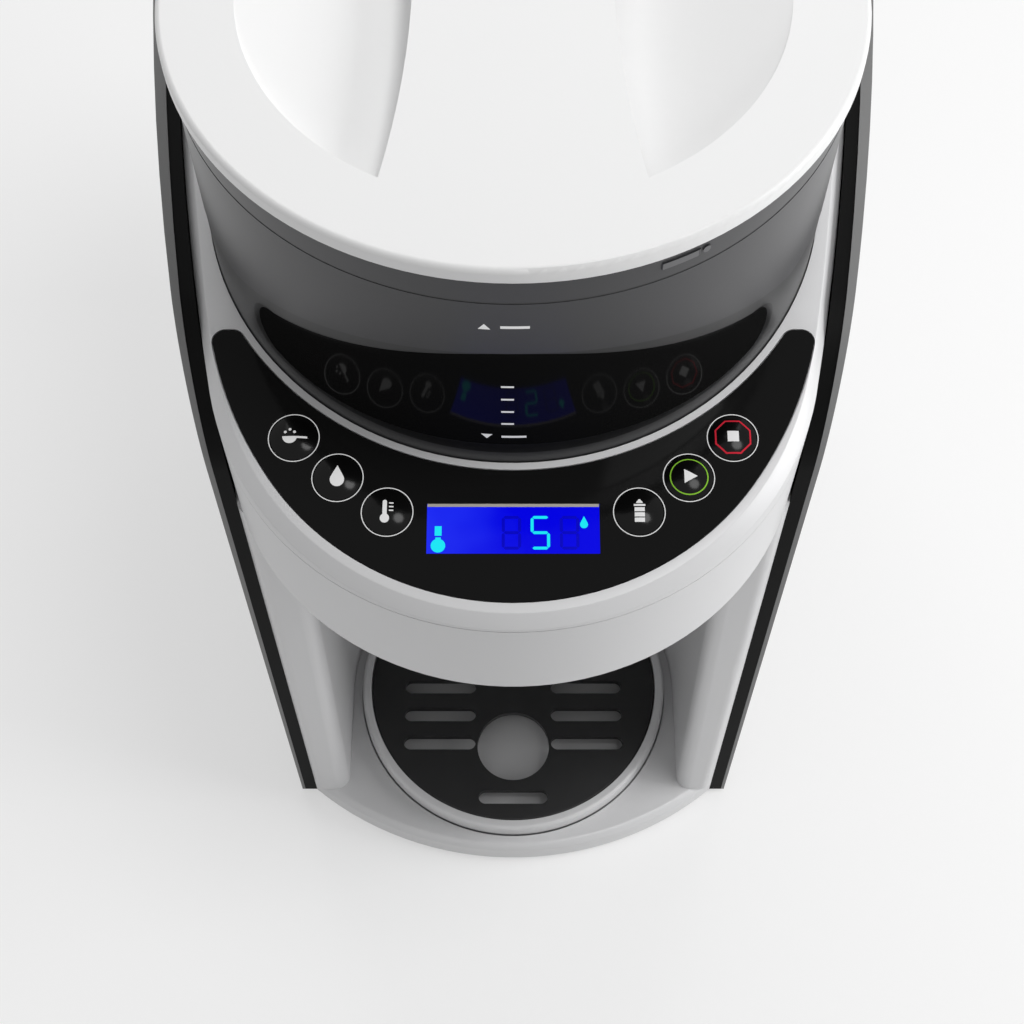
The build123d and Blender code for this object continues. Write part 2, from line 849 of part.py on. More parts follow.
with BuildPart() as control_board:
    with BuildSketch(Plane.XY.offset(head_bottom_z)):
        add(panel_plan())
        with Locations((0, board_back_y + beyond / 2)):
            Rectangle(beyond, beyond, mode=Mode.SUBTRACT)
        offset(amount=-board_inset)
    extrude(amount=beyond)
    split(bisect_by=deck_plane.offset(-board_depth), keep=Keep.BOTTOM)
    split(bisect_by=deck_plane.offset(-board_depth - board_t), keep=Keep.TOP)
control_board.part.label = "control_board"
export_step(control_board.part, "parts/control_board.step")

with BuildPart() as board_posts:
    with BuildSketch(deck_plane.offset(-roof_t)):
        with Locations(*[on_deck(x, y) for x, y in post_spots]):
            Circle(post_r)
            Circle(post_bore_r, mode=Mode.SUBTRACT)
    extrude(amount=-(board_depth - roof_t))
board_posts.part.label = "board_posts"
export_step(board_posts.part, "parts/board_posts.step")

with BuildPart() as tact_switches:
    with BuildSketch(deck_plane.offset(-board_depth)):
        with Locations(*[on_deck(x, y) for x, y in button_spots.values()]):
            Rectangle(tact_w, tact_w)
    extrude(amount=board_depth - roof_t - flange_t - button_travel - tact_clear)
tact_switches.part.label = "tact_switches"
export_step(tact_switches.part, "parts/tact_switches.step")

# ================================================================ buttons
for button_name, spot in button_spots.items():
    foot = deck_plane.from_local_coords((*on_deck(*spot), 0))
    key_plane = Plane(foot, x_dir=(1, 0, 0), z_dir=deck_plane.z_dir)
    with BuildPart() as button:
        with BuildSketch(key_plane):
            Circle(button_r)
        extrude(amount=-(roof_t + flange_drop))
        with BuildSketch(key_plane.offset(-roof_t - flange_drop)):
            Circle(flange_r)
        extrude(amount=-flange_t)
        with BuildSketch(Plane(foot, x_dir=(1, 0, 0), z_dir=-deck_plane.y_dir)):
            with BuildLine():
                half_z = sqrt(button_dome_r**2 - (button_r / 2) ** 2) - button_dome_r + button_rise
                dome = ThreePointArc((0, button_rise), (button_r / 2, half_z), (button_r, 0))
                Polyline(dome @ 1, (0, 0), dome @ 0)
            make_face()
        revolve(axis=Axis(foot, deck_plane.z_dir))
    button.part.label = button_name + "_button"
    export_step(button.part, "parts/" + button_name + "_button.step")


# ================================================================ powder container
def shoulder_face():
    """Front view of everything above the container's arched shoulder line."""
    span = container_r + overrun
    with BuildSketch(Plane.XZ) as face:
        with BuildLine():
            arch = ThreePointArc(
                (-shoulder_end_x, shoulder_end_z),
                (0, shoulder_peak_z),
                (shoulder_end_x, shoulder_end_z),
            )
            Polyline(
                arch @ 1, (span, shoulder_end_z), (span, beyond),
                (-span, beyond), (-span, shoulder_end_z), arch @ 0,
            )
        make_face()
    return face.sketch


with BuildPart() as powder_container:
    with BuildSketch(Plane.XY.offset(shoulder_end_z)):
        with Locations((0, powder_y)):
            Circle(container_r)
            Circle(container_bore_r, mode=Mode.SUBTRACT)
    extrude(amount=collar_z - shoulder_end_z)
    extrude(shoulder_face(), amount=beyond, both=True, mode=Mode.INTERSECT)
powder_container.part.label = "powder_container"
export_step(powder_container.part, "parts/powder_container.step")

with BuildPart() as container_skirt:
    with BuildSketch(Plane.XY.offset(skirt_bottom_z)):
        with Locations((0, powder_y)):
            Circle(skirt_r)
            Circle(skirt_bore_r, mode=Mode.SUBTRACT)
    extrude(amount=shoulder_peak_z - skirt_bottom_z)
    extrude(shoulder_face(), amount=beyond, both=True, mode=Mode.SUBTRACT)
    with BuildSketch(Plane.XZ.offset(-powder_y)):
        add(window_face(frame_w, sill_h - frame_w))
    frame_cut = extrude(amount=container_r + beyond, mode=Mode.PRIVATE)
    frame_r = skirt_r - window_inset
    with BuildSketch(Plane.YZ):
        with BuildLine():
            Polyline(
                (powder_y, skirt_bottom_z),
                (powder_y - skirt_r + sill_step, skirt_bottom_z),
                (powder_y - skirt_r + sill_step, window_bottom_z - sill_h),
                (powder_y - frame_r, window_bottom_z),
                (powder_y - frame_r, lid_z),
                (powder_y, lid_z),
                close=True,
            )
        make_face()
    frame_core = revolve(axis=Axis((0, powder_y, 0), (0, 0, 1)), mode=Mode.PRIVATE)
    add(frame_cut - frame_core, mode=Mode.SUBTRACT)
    with BuildSketch(Plane.XZ.offset(-powder_y)):
        add(window_face(gap))
    extrude(amount=beyond, mode=Mode.SUBTRACT)
    with BuildSketch(Plane.XY.offset(skirt_bottom_z)):
        with Locations((0, powder_y)):
            Circle(skirt_bore_r)
            Circle(floor_r, mode=Mode.SUBTRACT)
    extrude(amount=shoulder_end_z - skirt_bottom_z - liner_drop)
container_skirt.part.label = "container_skirt"
export_step(container_skirt.part, "parts/container_skirt.step")

with BuildPart() as window_panel:
    with BuildSketch(Plane.XY.offset(skirt_bottom_z)):
        with Locations((0, powder_y)):
            Circle(skirt_r - window_inset + window_proud)
            Circle(skirt_bore_r, mode=Mode.SUBTRACT)
    extrude(amount=shoulder_peak_z - skirt_bottom_z)
    with BuildSketch(Plane.XZ.offset(-powder_y)) as window_view:
        add(window_face())
    extrude(window_view.sketch, amount=beyond, mode=Mode.INTERSECT)
window_panel.part.label = "window_panel"
export_step(window_panel.part, "parts/window_panel.step")

with BuildPart() as container_floor:
    with BuildSketch(Plane.XY.offset(dosing_floor_z)):
        with Locations((0, powder_y)):
            Circle(floor_r)
            Circle(spindle_r + spindle_clear, mode=Mode.SUBTRACT)
        with Locations((0, outlet_y)):
            Circle(outlet_r - outlet_step, mode=Mode.SUBTRACT)
    extrude(amount=dosing_floor_t)
container_floor.part.label = "container_floor"
export_step(container_floor.part, "parts/container_floor.step")

with BuildPart() as container_collar:
    with BuildSketch(Plane.XY.offset(collar_z)):
        with Locations((0, powder_y)):
            Circle(container_r - collar_groove)
            Circle(collar_bore_r, mode=Mode.SUBTRACT)
    extrude(amount=collar_groove_h)
    with BuildSketch(Plane.XY.offset(collar_z + collar_groove_h)):
        with Locations((0, powder_y)):
            Circle(container_r)
            Circle(collar_bore_r, mode=Mode.SUBTRACT)
    extrude(amount=collar_h - collar_groove_h - gap)
    mark_z = collar_z + (collar_h + collar_groove_h) / 2
    with BuildSketch(Plane.XY.offset(mark_z - lock_mark_h / 2)):
        with BuildLine():
            CenterArc(
                (0, powder_y), container_r, lock_bar_turn - lock_bar_span / 2 - 90, lock_bar_span
            )
            offset(amount=lock_mark_rise)
        make_face()
    extrude(amount=lock_mark_h)
    dot_turn = radians(lock_dot_turn)
    dot_x = container_r * sin(dot_turn)
    dot_y = powder_y - container_r * cos(dot_turn)
    with BuildSketch(Plane((dot_x, dot_y, mark_z), z_dir=(sin(dot_turn), -cos(dot_turn), 0))):
        Circle(lock_mark_h / 2)
    extrude(amount=lock_mark_rise, both=True)
container_collar.part.label = "container_collar"
export_step(container_collar.part, "parts/container_collar.step")

with BuildPart() as powder_scraper:
    with BuildSketch(Plane.XY.offset(wheel_z + wheel_t + scraper_lift)):
        with BuildLine():
            rim = CenterArc((0, powder_y), floor_r, -90 - scraper_span / 2, scraper_span)
            Polyline(rim @ 1, (0, powder_y - scraper_in_r), rim @ 0)
        make_face()
    extrude(amount=scraper_t)
powder_scraper.part.label = "powder_scraper"
export_step(powder_scraper.part, "parts/powder_scraper.step")


# ================================================================ container lid
def recess_plan(side, grow=0.0):
    """One finger recess of the lid in plan: bounded by the grip bar and by an arc."""
    arc_r = recess_r + grow
    bar_end = bar_half_end - grow
    bar_mid = bar_half_mid - grow
    end_y = sqrt(arc_r**2 - bar_end**2)
    with BuildSketch() as plan:
        with BuildLine():
            bar = ThreePointArc(
                (side * bar_end, powder_y - end_y),
                (side * bar_mid, powder_y),
                (side * bar_end, powder_y + end_y),
            )
            ThreePointArc(bar @ 1, (side * arc_r, powder_y), bar @ 0)
        make_face()
    return plan.sketch


def recess_ramp(drop=0.0):
    """Front view of the space above the two recess floors, which fall from the rim to the bar."""
    edge_z = lid_top_z - drop
    deep_z = lid_top_z - recess_depth - drop
    with BuildSketch(Plane.XZ) as ramp:
        with BuildLine():
            Polyline(
                (-recess_r, edge_z), (-bar_half_mid, deep_z), (bar_half_mid, deep_z),
                (recess_r, edge_z), (recess_r, beyond), (-recess_r, beyond),
                (-recess_r, edge_z),
            )
        make_face()
    return ramp.sketch


with BuildPart() as container_lid:
    with BuildSketch(Plane.XY.offset(lid_z)):
        with Locations((0, powder_y)):
            Circle(lid_r)
    extrude(amount=lid_t)
    fillet(container_lid.edges().group_by(Axis.Z)[-1], radius=lid_edge_r)
    with BuildSketch(Plane.XY.offset(lid_z)):
        with Locations((0, powder_y)):
            Circle(lid_skirt_r)
            Circle(lid_skirt_r - lid_skirt_t, mode=Mode.SUBTRACT)
    extrude(amount=-lid_skirt_h)
    with BuildSketch(Plane.XY.offset(lid_z - recess_depth)):
        add(recess_plan(-1, recess_wall))
        add(recess_plan(1, recess_wall))
    cups = extrude(amount=recess_depth + lid_t / 2, mode=Mode.PRIVATE)
    add(cups & extrude(recess_ramp(recess_wall), amount=beyond, both=True, mode=Mode.PRIVATE))
    with BuildSketch(Plane.XY.offset(lid_z - recess_depth)):
        add(recess_plan(-1))
        add(recess_plan(1))
    dips = extrude(amount=beyond, mode=Mode.PRIVATE)
    dips = dips & extrude(recess_ramp(), amount=beyond, both=True, mode=Mode.PRIVATE)
    add(dips, mode=Mode.SUBTRACT)
container_lid.part.label = "container_lid"
export_step(container_lid.part, "parts/container_lid.step")

with BuildPart() as lid_seal:
    with BuildSketch(Plane.XY.offset(lid_z - lid_skirt_h)):
        with Locations((0, powder_y)):
            Circle(lid_skirt_r - lid_skirt_t)
            Circle(lid_skirt_r - lid_skirt_t - seal_t, mode=Mode.SUBTRACT)
    extrude(amount=seal_h)
lid_seal.part.label = "lid_seal"
export_step(lid_seal.part, "parts/lid_seal.step")


# ================================================================ dosing drive
def gear_plan(teeth, turn=0.0):
    """Involute spur gear from above, about the origin."""
    pitch_r = gear_module * teeth / 2
    base_r = pitch_r * cos(radians(pressure_angle))
    tip_r = pitch_r + gear_module
    root_r = pitch_r - root_depth * gear_module
    pressure = tan(radians(pressure_angle)) - radians(pressure_angle)
    half = pi / (2 * teeth) - backlash / pitch_r + pressure

    def flank(radius, side):
        roll = sqrt(max((radius / base_r) ** 2 - 1, 0))
        angle = side * (half - (roll - atan2(roll, 1)))
        return (radius * cos(angle), radius * sin(angle))

    start_r = max(base_r, root_r)
    steps = [start_r + (tip_r - start_r) * k / 3 for k in range(4)]
    heel_x = root_r * 0.9
    heel_y = heel_x * half * 0.8
    with BuildSketch() as tooth:
        with BuildLine():
            low = Spline(*[flank(r, -1) for r in steps])
            high = Spline(*[flank(r, 1) for r in steps])
            Line(low @ 1, high @ 1)
            Polyline(high @ 0, (heel_x, heel_y), (heel_x, -heel_y), low @ 0)
        make_face()
    with BuildSketch() as plan:
        Circle(root_r)
        with PolarLocations(0, teeth, start_angle=turn):
            add(tooth.sketch)
    return plan.sketch


with BuildPart() as drive_gear:
    with BuildSketch(Plane.XY.offset(gear_z)):
        with Locations((0, powder_y)):
            add(gear_plan(gear_teeth, 0.5 * 360 / gear_teeth))
            with PolarLocations(gear_hole_circle_r, gear_hole_count):
                Circle(gear_hole_r, mode=Mode.SUBTRACT)
            Circle(spindle_r, mode=Mode.SUBTRACT)
    extrude(amount=gear_w)
drive_gear.part.label = "drive_gear"
export_step(drive_gear.part, "parts/drive_gear.step")

with BuildPart() as motor_pinion:
    with BuildSketch(Plane.XY.offset(gear_z)):
        with Locations((0, pinion_y)):
            add(gear_plan(pinion_teeth, -90))
    extrude(amount=gear_w)
    with BuildSketch(Plane.XY.offset(gear_z)):
        with Locations((0, pinion_y)):
            Circle(motor_shaft_r)
    extrude(amount=-motor_shaft_len)
motor_pinion.part.label = "motor_pinion"
export_step(motor_pinion.part, "parts/motor_pinion.step")

with BuildPart() as drive_spindle:
    with BuildSketch(Plane.XY.offset(gear_z - spindle_tail)):
        with Locations((0, powder_y)):
            Circle(spindle_r)
    extrude(amount=wheel_z + wheel_t + spindle_head - gear_z + spindle_tail)
drive_spindle.part.label = "drive_spindle"
export_step(drive_spindle.part, "parts/drive_spindle.step")

with BuildPart() as spindle_bush:
    with BuildSketch(Plane.XY.offset(pocket_floor_z - floor_t)):
        with Locations((0, powder_y)):
            Circle(bush_r)
            Circle(spindle_r + run_fit, mode=Mode.SUBTRACT)
    extrude(amount=floor_t + gap)
    with BuildSketch(Plane.XY.offset(pocket_floor_z - floor_t)):
        with Locations((0, powder_y)):
            Circle(bush_r + bush_flange)
            Circle(spindle_r + run_fit, mode=Mode.SUBTRACT)
    extrude(amount=-bush_flange_t)
spindle_bush.part.label = "spindle_bush"
export_step(spindle_bush.part, "parts/spindle_bush.step")

with BuildPart() as drive_bracket:
    with BuildSketch(Plane.XY.offset(bracket_z)):
        with Locations((0, bracket_y)):
            RectangleRounded(bracket_w, bracket_len, bracket_r)
        with Locations((0, powder_y)):
            Circle(spindle_r + run_fit, mode=Mode.SUBTRACT)
        with Locations((0, pinion_y)):
            Circle(bracket_clear_r, mode=Mode.SUBTRACT)
    extrude(amount=bracket_t)
    with BuildSketch(Plane.XY.offset(bracket_z + bracket_t)):
        with Locations((0, bracket_y)):
            with GridLocations(
                bracket_w - 2 * bracket_post_inset, bracket_len - 2 * bracket_post_inset, 2, 2
            ):
                Circle(bracket_post_r)
    extrude(amount=pocket_floor_z - floor_t - bracket_z - bracket_t)
drive_bracket.part.label = "drive_bracket"
export_step(drive_bracket.part, "parts/drive_bracket.step")

with BuildPart() as gear_motor:
    with BuildSketch(Plane.XY.offset(bracket_z)):
        with Locations((0, pinion_y)):
            Circle(motor_r)
            Circle(2 * motor_shaft_r, mode=Mode.SUBTRACT)
    extrude(amount=-motor_boss_t)
    with BuildSketch(Plane.XY.offset(bracket_z - motor_boss_t)):
        with Locations((0, pinion_y)):
            Circle(motor_r)
    extrude(amount=-motor_len)
gear_motor.part.label = "gear_motor"
export_step(gear_motor.part, "parts/gear_motor.step")

with BuildPart() as powder_wheel:
    with BuildSketch(Plane.XY.offset(wheel_z)):
        with Locations((0, powder_y)):
            Circle(wheel_r)
            Circle(spindle_r, mode=Mode.SUBTRACT)
            with PolarLocations(dose_circle_r, dose_count):
                Circle(dose_r, mode=Mode.SUBTRACT)
    extrude(amount=wheel_t)
powder_wheel.part.label = "powder_wheel"
export_step(powder_wheel.part, "parts/powder_wheel.step")

with BuildPart() as stirrer:
    stirrer_z = wheel_z + wheel_t + stirrer_lift
    with BuildSketch(Plane.XY.offset(stirrer_z)):
        with Locations((0, powder_y)):
            Circle(stirrer_hub_r)
            Circle(spindle_r, mode=Mode.SUBTRACT)
    extrude(amount=stirrer_hub_h)
    with BuildSketch(Plane.XY.offset(stirrer_z)):
        with Locations((0, powder_y)):
            with PolarLocations((arm_in_r + arm_out_r) / 2, stirrer_arms):
                Rectangle(arm_out_r - arm_in_r, arm_w)
    extrude(amount=arm_t)
    with BuildSketch(Plane.XY.offset(stirrer_z)):
        with Locations((0, powder_y)):
            with PolarLocations(arm_out_r - blade_w / 2, stirrer_arms):
                Rectangle(blade_w, arm_w)
    extrude(amount=blade_h)
stirrer.part.label = "stirrer"
export_step(stirrer.part, "parts/stirrer.step")

# ================================================================ powder chute, funnel and nozzle
with BuildPart() as powder_chute:
    chute_z = head_bottom_z + floor_t - chute_drop
    with BuildSketch(Plane.XY.offset(chute_z)):
        with Locations((0, outlet_y)):
            Circle(outlet_r + chute_wall)
            Circle(outlet_r, mode=Mode.SUBTRACT)
    extrude(amount=pocket_floor_z - floor_t - chute_z)
powder_chute.part.label = "powder_chute"
export_step(powder_chute.part, "parts/powder_chute.step")

with BuildPart() as funnel_holder:
    holder_half_w = rail_x - rail_w / 2 - gap
    with BuildSketch(Plane.XY.offset(holder_z)):
        add(head_plan(holder_inset))
        with Locations((0, holder_back_y + beyond / 2)):
            Rectangle(beyond, beyond, mode=Mode.SUBTRACT)
        with Locations((holder_half_w + beyond / 2, 0), (-holder_half_w - beyond / 2, 0)):
            Rectangle(beyond, 2 * beyond, mode=Mode.SUBTRACT)
        with Locations((0, bottle_y)):
            Circle(funnel_mouth_r - funnel_seat, mode=Mode.SUBTRACT)
    extrude(amount=holder_t)
    with BuildSketch(Plane.XY.offset(holder_z)):
        add(head_plan(holder_inset))
        offset(head_plan(holder_inset), amount=-holder_t, mode=Mode.SUBTRACT)
        with Locations((0, rail_front_y - holder_grip_clear + beyond / 2)):
            Rectangle(beyond, beyond, mode=Mode.SUBTRACT)
    extrude(amount=-holder_grip_h)
funnel_holder.part.label = "funnel_holder"
export_step(funnel_holder.part, "parts/funnel_holder.step")

with BuildPart() as funnel:
    rim_z = holder_z + holder_t
    lip_z = rim_z + funnel_lip_t
    seat_r = funnel_mouth_r - funnel_seat - funnel_seat_clear
    spout_z = funnel_bottom_z + funnel_spout_h
    with BuildSketch(Plane.YZ):
        with BuildLine():
            Polyline(
                (bottle_y - funnel_mouth_r, rim_z),
                (bottle_y - funnel_mouth_r, lip_z),
                (bottle_y - seat_r + funnel_wall, lip_z),
                (bottle_y - funnel_spout_r, spout_z),
                (bottle_y - funnel_spout_r, funnel_bottom_z),
                (bottle_y - funnel_spout_r - funnel_wall, funnel_bottom_z),
                (bottle_y - funnel_spout_r - funnel_wall, spout_z - funnel_wall / 2),
                (bottle_y - seat_r, holder_z - funnel_seat_clear),
                (bottle_y - seat_r, rim_z),
                close=True,
            )
        make_face()
    revolve(axis=Axis((0, bottle_y, 0), (0, 0, 1)))
funnel.part.label = "funnel"
export_step(funnel.part, "parts/funnel.step")

with BuildPart() as water_nozzle:
    nozzle_z = head_bottom_z + floor_t
    with BuildSketch(Plane.XY.offset(nozzle_z)):
        with Locations((nozzle_x, nozzle_y + nozzle_body_len)):
            RectangleRounded(nozzle_body_w, nozzle_body_len, nozzle_body_r)
    extrude(amount=nozzle_body_h)
    with BuildSketch(Plane.XY.offset(nozzle_z + nozzle_arm_lift)):
        with Locations((nozzle_x, nozzle_y)):
            Rectangle(nozzle_arm_w, nozzle_arm_len, align=(Align.CENTER, Align.MIN))
            Circle(nozzle_arm_w / 2)
    extrude(amount=nozzle_arm_h)
    with BuildSketch(Plane.XY.offset(nozzle_z + nozzle_arm_lift)):
        with Locations((nozzle_x, nozzle_y)):
            Circle(nozzle_r)
    extrude(amount=-nozzle_drop)
water_nozzle.part.label = "water_nozzle"
export_step(water_nozzle.part, "parts/water_nozzle.step")

# ================================================================ drip tray
with BuildPart() as drip_tray:
    tray_bottom_z = tray_floor_z + tray_seat
    tray_top_z = grid_top_z + tray_rim_rise
    tray_rim_z = base_top_z + tray_rim_seat
    with BuildSketch(Plane.XY.offset(tray_bottom_z)):
        with Locations((0, tray_y)):
            Circle(tray_r - tray_foot_inset)
    extrude(amount=tray_top_z - tray_bottom_z)
    with BuildSketch(Plane.XY.offset(tray_rim_z)):
        with Locations((0, tray_y)):
            Circle(tray_r)
    extrude(amount=tray_top_z - tray_rim_z)
    fillet(drip_tray.edges().group_by(Axis.Z)[-1], radius=tray_edge_r)
    with BuildSketch(Plane.XY.offset(tray_floor_z + tray_wall)):
        with Locations((0, tray_y)):
            Circle(grid_r - grid_ledge)
    extrude(amount=beyond, mode=Mode.SUBTRACT)
    with BuildSketch(Plane.XY.offset(grid_top_z - grid_t)):
        with Locations((0, tray_y)):
            Circle(grid_r + gap)
    extrude(amount=beyond, mode=Mode.SUBTRACT)
drip_tray.part.label = "drip_tray"
export_step(drip_tray.part, "parts/drip_tray.step")

with BuildPart() as drip_grid:
    with BuildSketch(Plane.XY.offset(grid_top_z - grid_t + grid_seat)):
        with Locations((0, tray_y)):
            Circle(grid_r)
        with Locations((0, bottle_y)):
            Circle(grid_hole_r, mode=Mode.SUBTRACT)
        slot_mid = (slot_in_x + slot_out_x) / 2
        slot_rows = [slot_first_y + slot_pitch * k for k in range(slot_row_count)]
        with Locations(*[(side * slot_mid, row) for side in (-1, 1) for row in slot_rows]):
            SlotOverall(slot_out_x - slot_in_x, slot_w, mode=Mode.SUBTRACT)
        with Locations((0, front_slot_y)):
            SlotOverall(front_slot_len, slot_w, mode=Mode.SUBTRACT)
    extrude(amount=grid_t - grid_seat)
    fillet(drip_grid.faces().sort_by(Axis.Z)[-1].outer_wire().edges(), radius=grid_edge_r)
drip_grid.part.label = "drip_grid"
export_step(drip_grid.part, "parts/drip_grid.step")


# ================================================================ water tank
def tank_plan(inset=0.0):
    """Tank seen from above: flat front, rear that follows the casing."""
    side_inset = casing_wall + tank_clear + inset
    with BuildSketch() as plan:
        add(body_plan(side_inset, side_inset, side_inset))
        with Locations((0, tank_front_y + inset - beyond / 2)):
            Rectangle(beyond, beyond, mode=Mode.SUBTRACT)
        fillet(plan.vertices().group_by(Axis.Y)[0], radius=tank_corner_r - inset)
    return plan.sketch


with BuildPart() as tank_shelf:
    with BuildSketch(Plane.XY.offset(shelf_z - shelf_t)):
        add(body_plan(*trim_insets))
        with Locations((0, deck_back_y - beyond / 2)):
            Rectangle(beyond, beyond, mode=Mode.SUBTRACT)
        with Locations((0, outlet_tank_y)):
            Circle(stub_r + stub_clear, mode=Mode.SUBTRACT)
    extrude(amount=shelf_t)
tank_shelf.part.label = "tank_shelf"
export_step(tank_shelf.part, "parts/tank_shelf.step")

with BuildPart() as water_tank:
    tank_floor_z = shelf_z + gap + tank_wall
    with BuildSketch(Plane.XY.offset(shelf_z + gap)):
        add(tank_plan())
    extrude(amount=tank_top_z - shelf_z - gap)
    fillet(water_tank.edges().group_by(Axis.Z)[0], radius=tank_foot_r)
    with BuildSketch(Plane.XY.offset(tank_floor_z)):
        add(tank_plan(tank_wall))
    extrude(amount=beyond, mode=Mode.SUBTRACT)
    with BuildSketch(Plane.XY.offset(tank_floor_z)):
        with Locations((0, outlet_tank_y)):
            Circle(stub_r)
    extrude(amount=-tank_wall - stub_len)
    with Locations((0, outlet_tank_y, shelf_z)):
        Hole(stub_r - stub_wall)
water_tank.part.label = "water_tank"
export_step(water_tank.part, "parts/water_tank.step")

with BuildPart() as tank_bridge:
    with BuildSketch(Plane.XY.offset(tank_top_z)):
        add(tank_plan())
        with Locations((0, hinge_y + knuckle_r - beyond / 2)):
            Rectangle(beyond, beyond, mode=Mode.SUBTRACT)
    extrude(amount=tank_lid_t)
    with Locations((-bridge_knuckle_x, hinge_y, hinge_z), (bridge_knuckle_x, hinge_y, hinge_z)):
        Cylinder(bridge_knuckle_r, bridge_knuckle_w, rotation=(0, 90, 0))
        Box(
            bridge_knuckle_w, bridge_web_len, tank_lid_t - 2 * hinge_lift,
            align=(Align.CENTER, Align.MIN, Align.CENTER),
        )
    with Locations((0, hinge_y, hinge_z)):
        Cylinder(hinge_pin_r, hinge_bore_len, rotation=(0, 90, 0), mode=Mode.SUBTRACT)
tank_bridge.part.label = "tank_bridge"
export_step(tank_bridge.part, "parts/tank_bridge.step")

with BuildPart() as tank_lid:
    with BuildSketch(Plane.XY.offset(tank_top_z + gap)):
        add(tank_plan())
        with Locations((0, hinge_y - knuckle_r - lid_swing_gap + beyond / 2)):
            Rectangle(beyond, beyond, mode=Mode.SUBTRACT)
    extrude(amount=tank_lid_t)
    with Locations((-lid_knuckle_x, hinge_y, hinge_z), (lid_knuckle_x, hinge_y, hinge_z)):
        Cylinder(bridge_knuckle_r, lid_knuckle_w, rotation=(0, 90, 0))
        Box(
            lid_knuckle_w, lid_web_len, tank_lid_t - 3 * hinge_lift,
            align=(Align.CENTER, Align.MAX, Align.CENTER),
        )
    with Locations((0, hinge_y, hinge_z)):
        Cylinder(hinge_pin_r + run_fit, hinge_bore_len, rotation=(0, 90, 0), mode=Mode.SUBTRACT)
tank_lid.part.label = "tank_lid"
export_step(tank_lid.part, "parts/tank_lid.step")

with BuildPart() as tank_pin:
    with Locations((0, hinge_y, hinge_z)):
        Cylinder(hinge_pin_r, hinge_pin_len, rotation=(0, 90, 0))
tank_pin.part.label = "tank_pin"
export_step(tank_pin.part, "parts/tank_pin.step")

with BuildPart() as tank_valve:
    with BuildSketch(Plane.XY.offset(shelf_z)):
        with Locations((0, outlet_tank_y)):
            Circle(stub_r - stub_wall)
            Circle(stub_r - stub_wall - valve_wall, mode=Mode.SUBTRACT)
    extrude(amount=-stub_len)
tank_valve.part.label = "tank_valve"
export_step(tank_valve.part, "parts/tank_valve.step")

# ================================================================ water system and electrics
with BuildPart() as inlet_cup:
    with BuildSketch(Plane.XY.offset(shelf_z - shelf_t)):
        with Locations((0, outlet_tank_y)):
            Circle(stub_r + stub_clear + cup_wall)
    extrude(amount=-cup_depth - cup_floor_t)
    with BuildSketch(Plane.XY.offset(shelf_z - shelf_t)):
        with Locations((0, outlet_tank_y)):
            Circle(stub_r + stub_clear)
    extrude(amount=-cup_depth, mode=Mode.SUBTRACT)
inlet_cup.part.label = "inlet_cup"
export_step(inlet_cup.part, "parts/inlet_cup.step")

with BuildPart() as water_pump:
    with Locations((0, outlet_tank_y, base_top_z)):
        Box(pump_w, pump_len, pump_h, align=(Align.CENTER, Align.CENTER, Align.MIN))
        Cylinder(
            pump_motor_r, pump_top_z - base_top_z, align=(Align.CENTER, Align.CENTER, Align.MIN)
        )
water_pump.part.label = "water_pump"
export_step(water_pump.part, "parts/water_pump.step")

with BuildPart() as pump_hose:
    with BuildSketch(Plane.XY.offset(pump_top_z)):
        with Locations((0, outlet_tank_y)):
            Circle(hose_r)
            Circle(hose_bore_r, mode=Mode.SUBTRACT)
    extrude(amount=shelf_z - shelf_t - cup_depth - cup_floor_t - pump_top_z)
pump_hose.part.label = "pump_hose"
export_step(pump_hose.part, "parts/pump_hose.step")

with BuildPart() as heater_block:
    with Locations((-heater_x, heater_y, base_top_z)):
        Box(heater_w, heater_len, heater_h, align=(Align.CENTER, Align.CENTER, Align.MIN))
heater_block.part.label = "heater_block"
export_step(heater_block.part, "parts/heater_block.step")

with BuildPart() as power_board:
    with Locations((power_board_x, heater_y, base_top_z)):
        Box(
            board_t, power_board_len, power_board_h,
            align=(Align.CENTER, Align.CENTER, Align.MIN),
        )
    coil_x = power_board_x - board_t / 2
    with Locations((coil_x, coil_low_y, coil_low_z), (coil_x, coil_high_y, coil_high_z)):
        Box(coil_w, coil_len, coil_h, align=(Align.MAX, Align.CENTER, Align.MIN))
power_board.part.label = "power_board"
export_step(power_board.part, "parts/power_board.step")

with BuildPart() as power_inlet:
    with BuildSketch(Plane.XZ.offset(-rear_face_y)):
        with Locations((inlet_x, rear_fit_z)):
            RectangleRounded(inlet_w + 2 * rear_flange, inlet_h + 2 * rear_flange, rear_flange_r)
    extrude(amount=rear_flange_t)
    with BuildSketch(Plane.XZ.offset(-rear_face_y)):
        with Locations((inlet_x, rear_fit_z)):
            Rectangle(inlet_w - 2 * rear_clear, inlet_h - 2 * rear_clear)
    extrude(amount=inlet_depth)
    with BuildSketch(Plane.XZ.offset(-rear_face_y)):
        with Locations((inlet_x, rear_fit_z)):
            RectangleRounded(inlet_w - 2 * inlet_wall, inlet_h - 2 * inlet_wall, inlet_corner_r)
    extrude(amount=inlet_depth - inlet_floor_t, mode=Mode.SUBTRACT)
    with BuildSketch(Plane.XZ.offset(-rear_face_y + blade_set_back)):
        with Locations(
            (inlet_x - blade_half_pitch, rear_fit_z - blade_offset),
            (inlet_x, rear_fit_z + blade_offset),
            (inlet_x + blade_half_pitch, rear_fit_z - blade_offset),
        ):
            Rectangle(blade_thick, blade_long)
    extrude(amount=inlet_depth - inlet_floor_t - blade_set_back)
power_inlet.part.label = "power_inlet"
export_step(power_inlet.part, "parts/power_inlet.step")

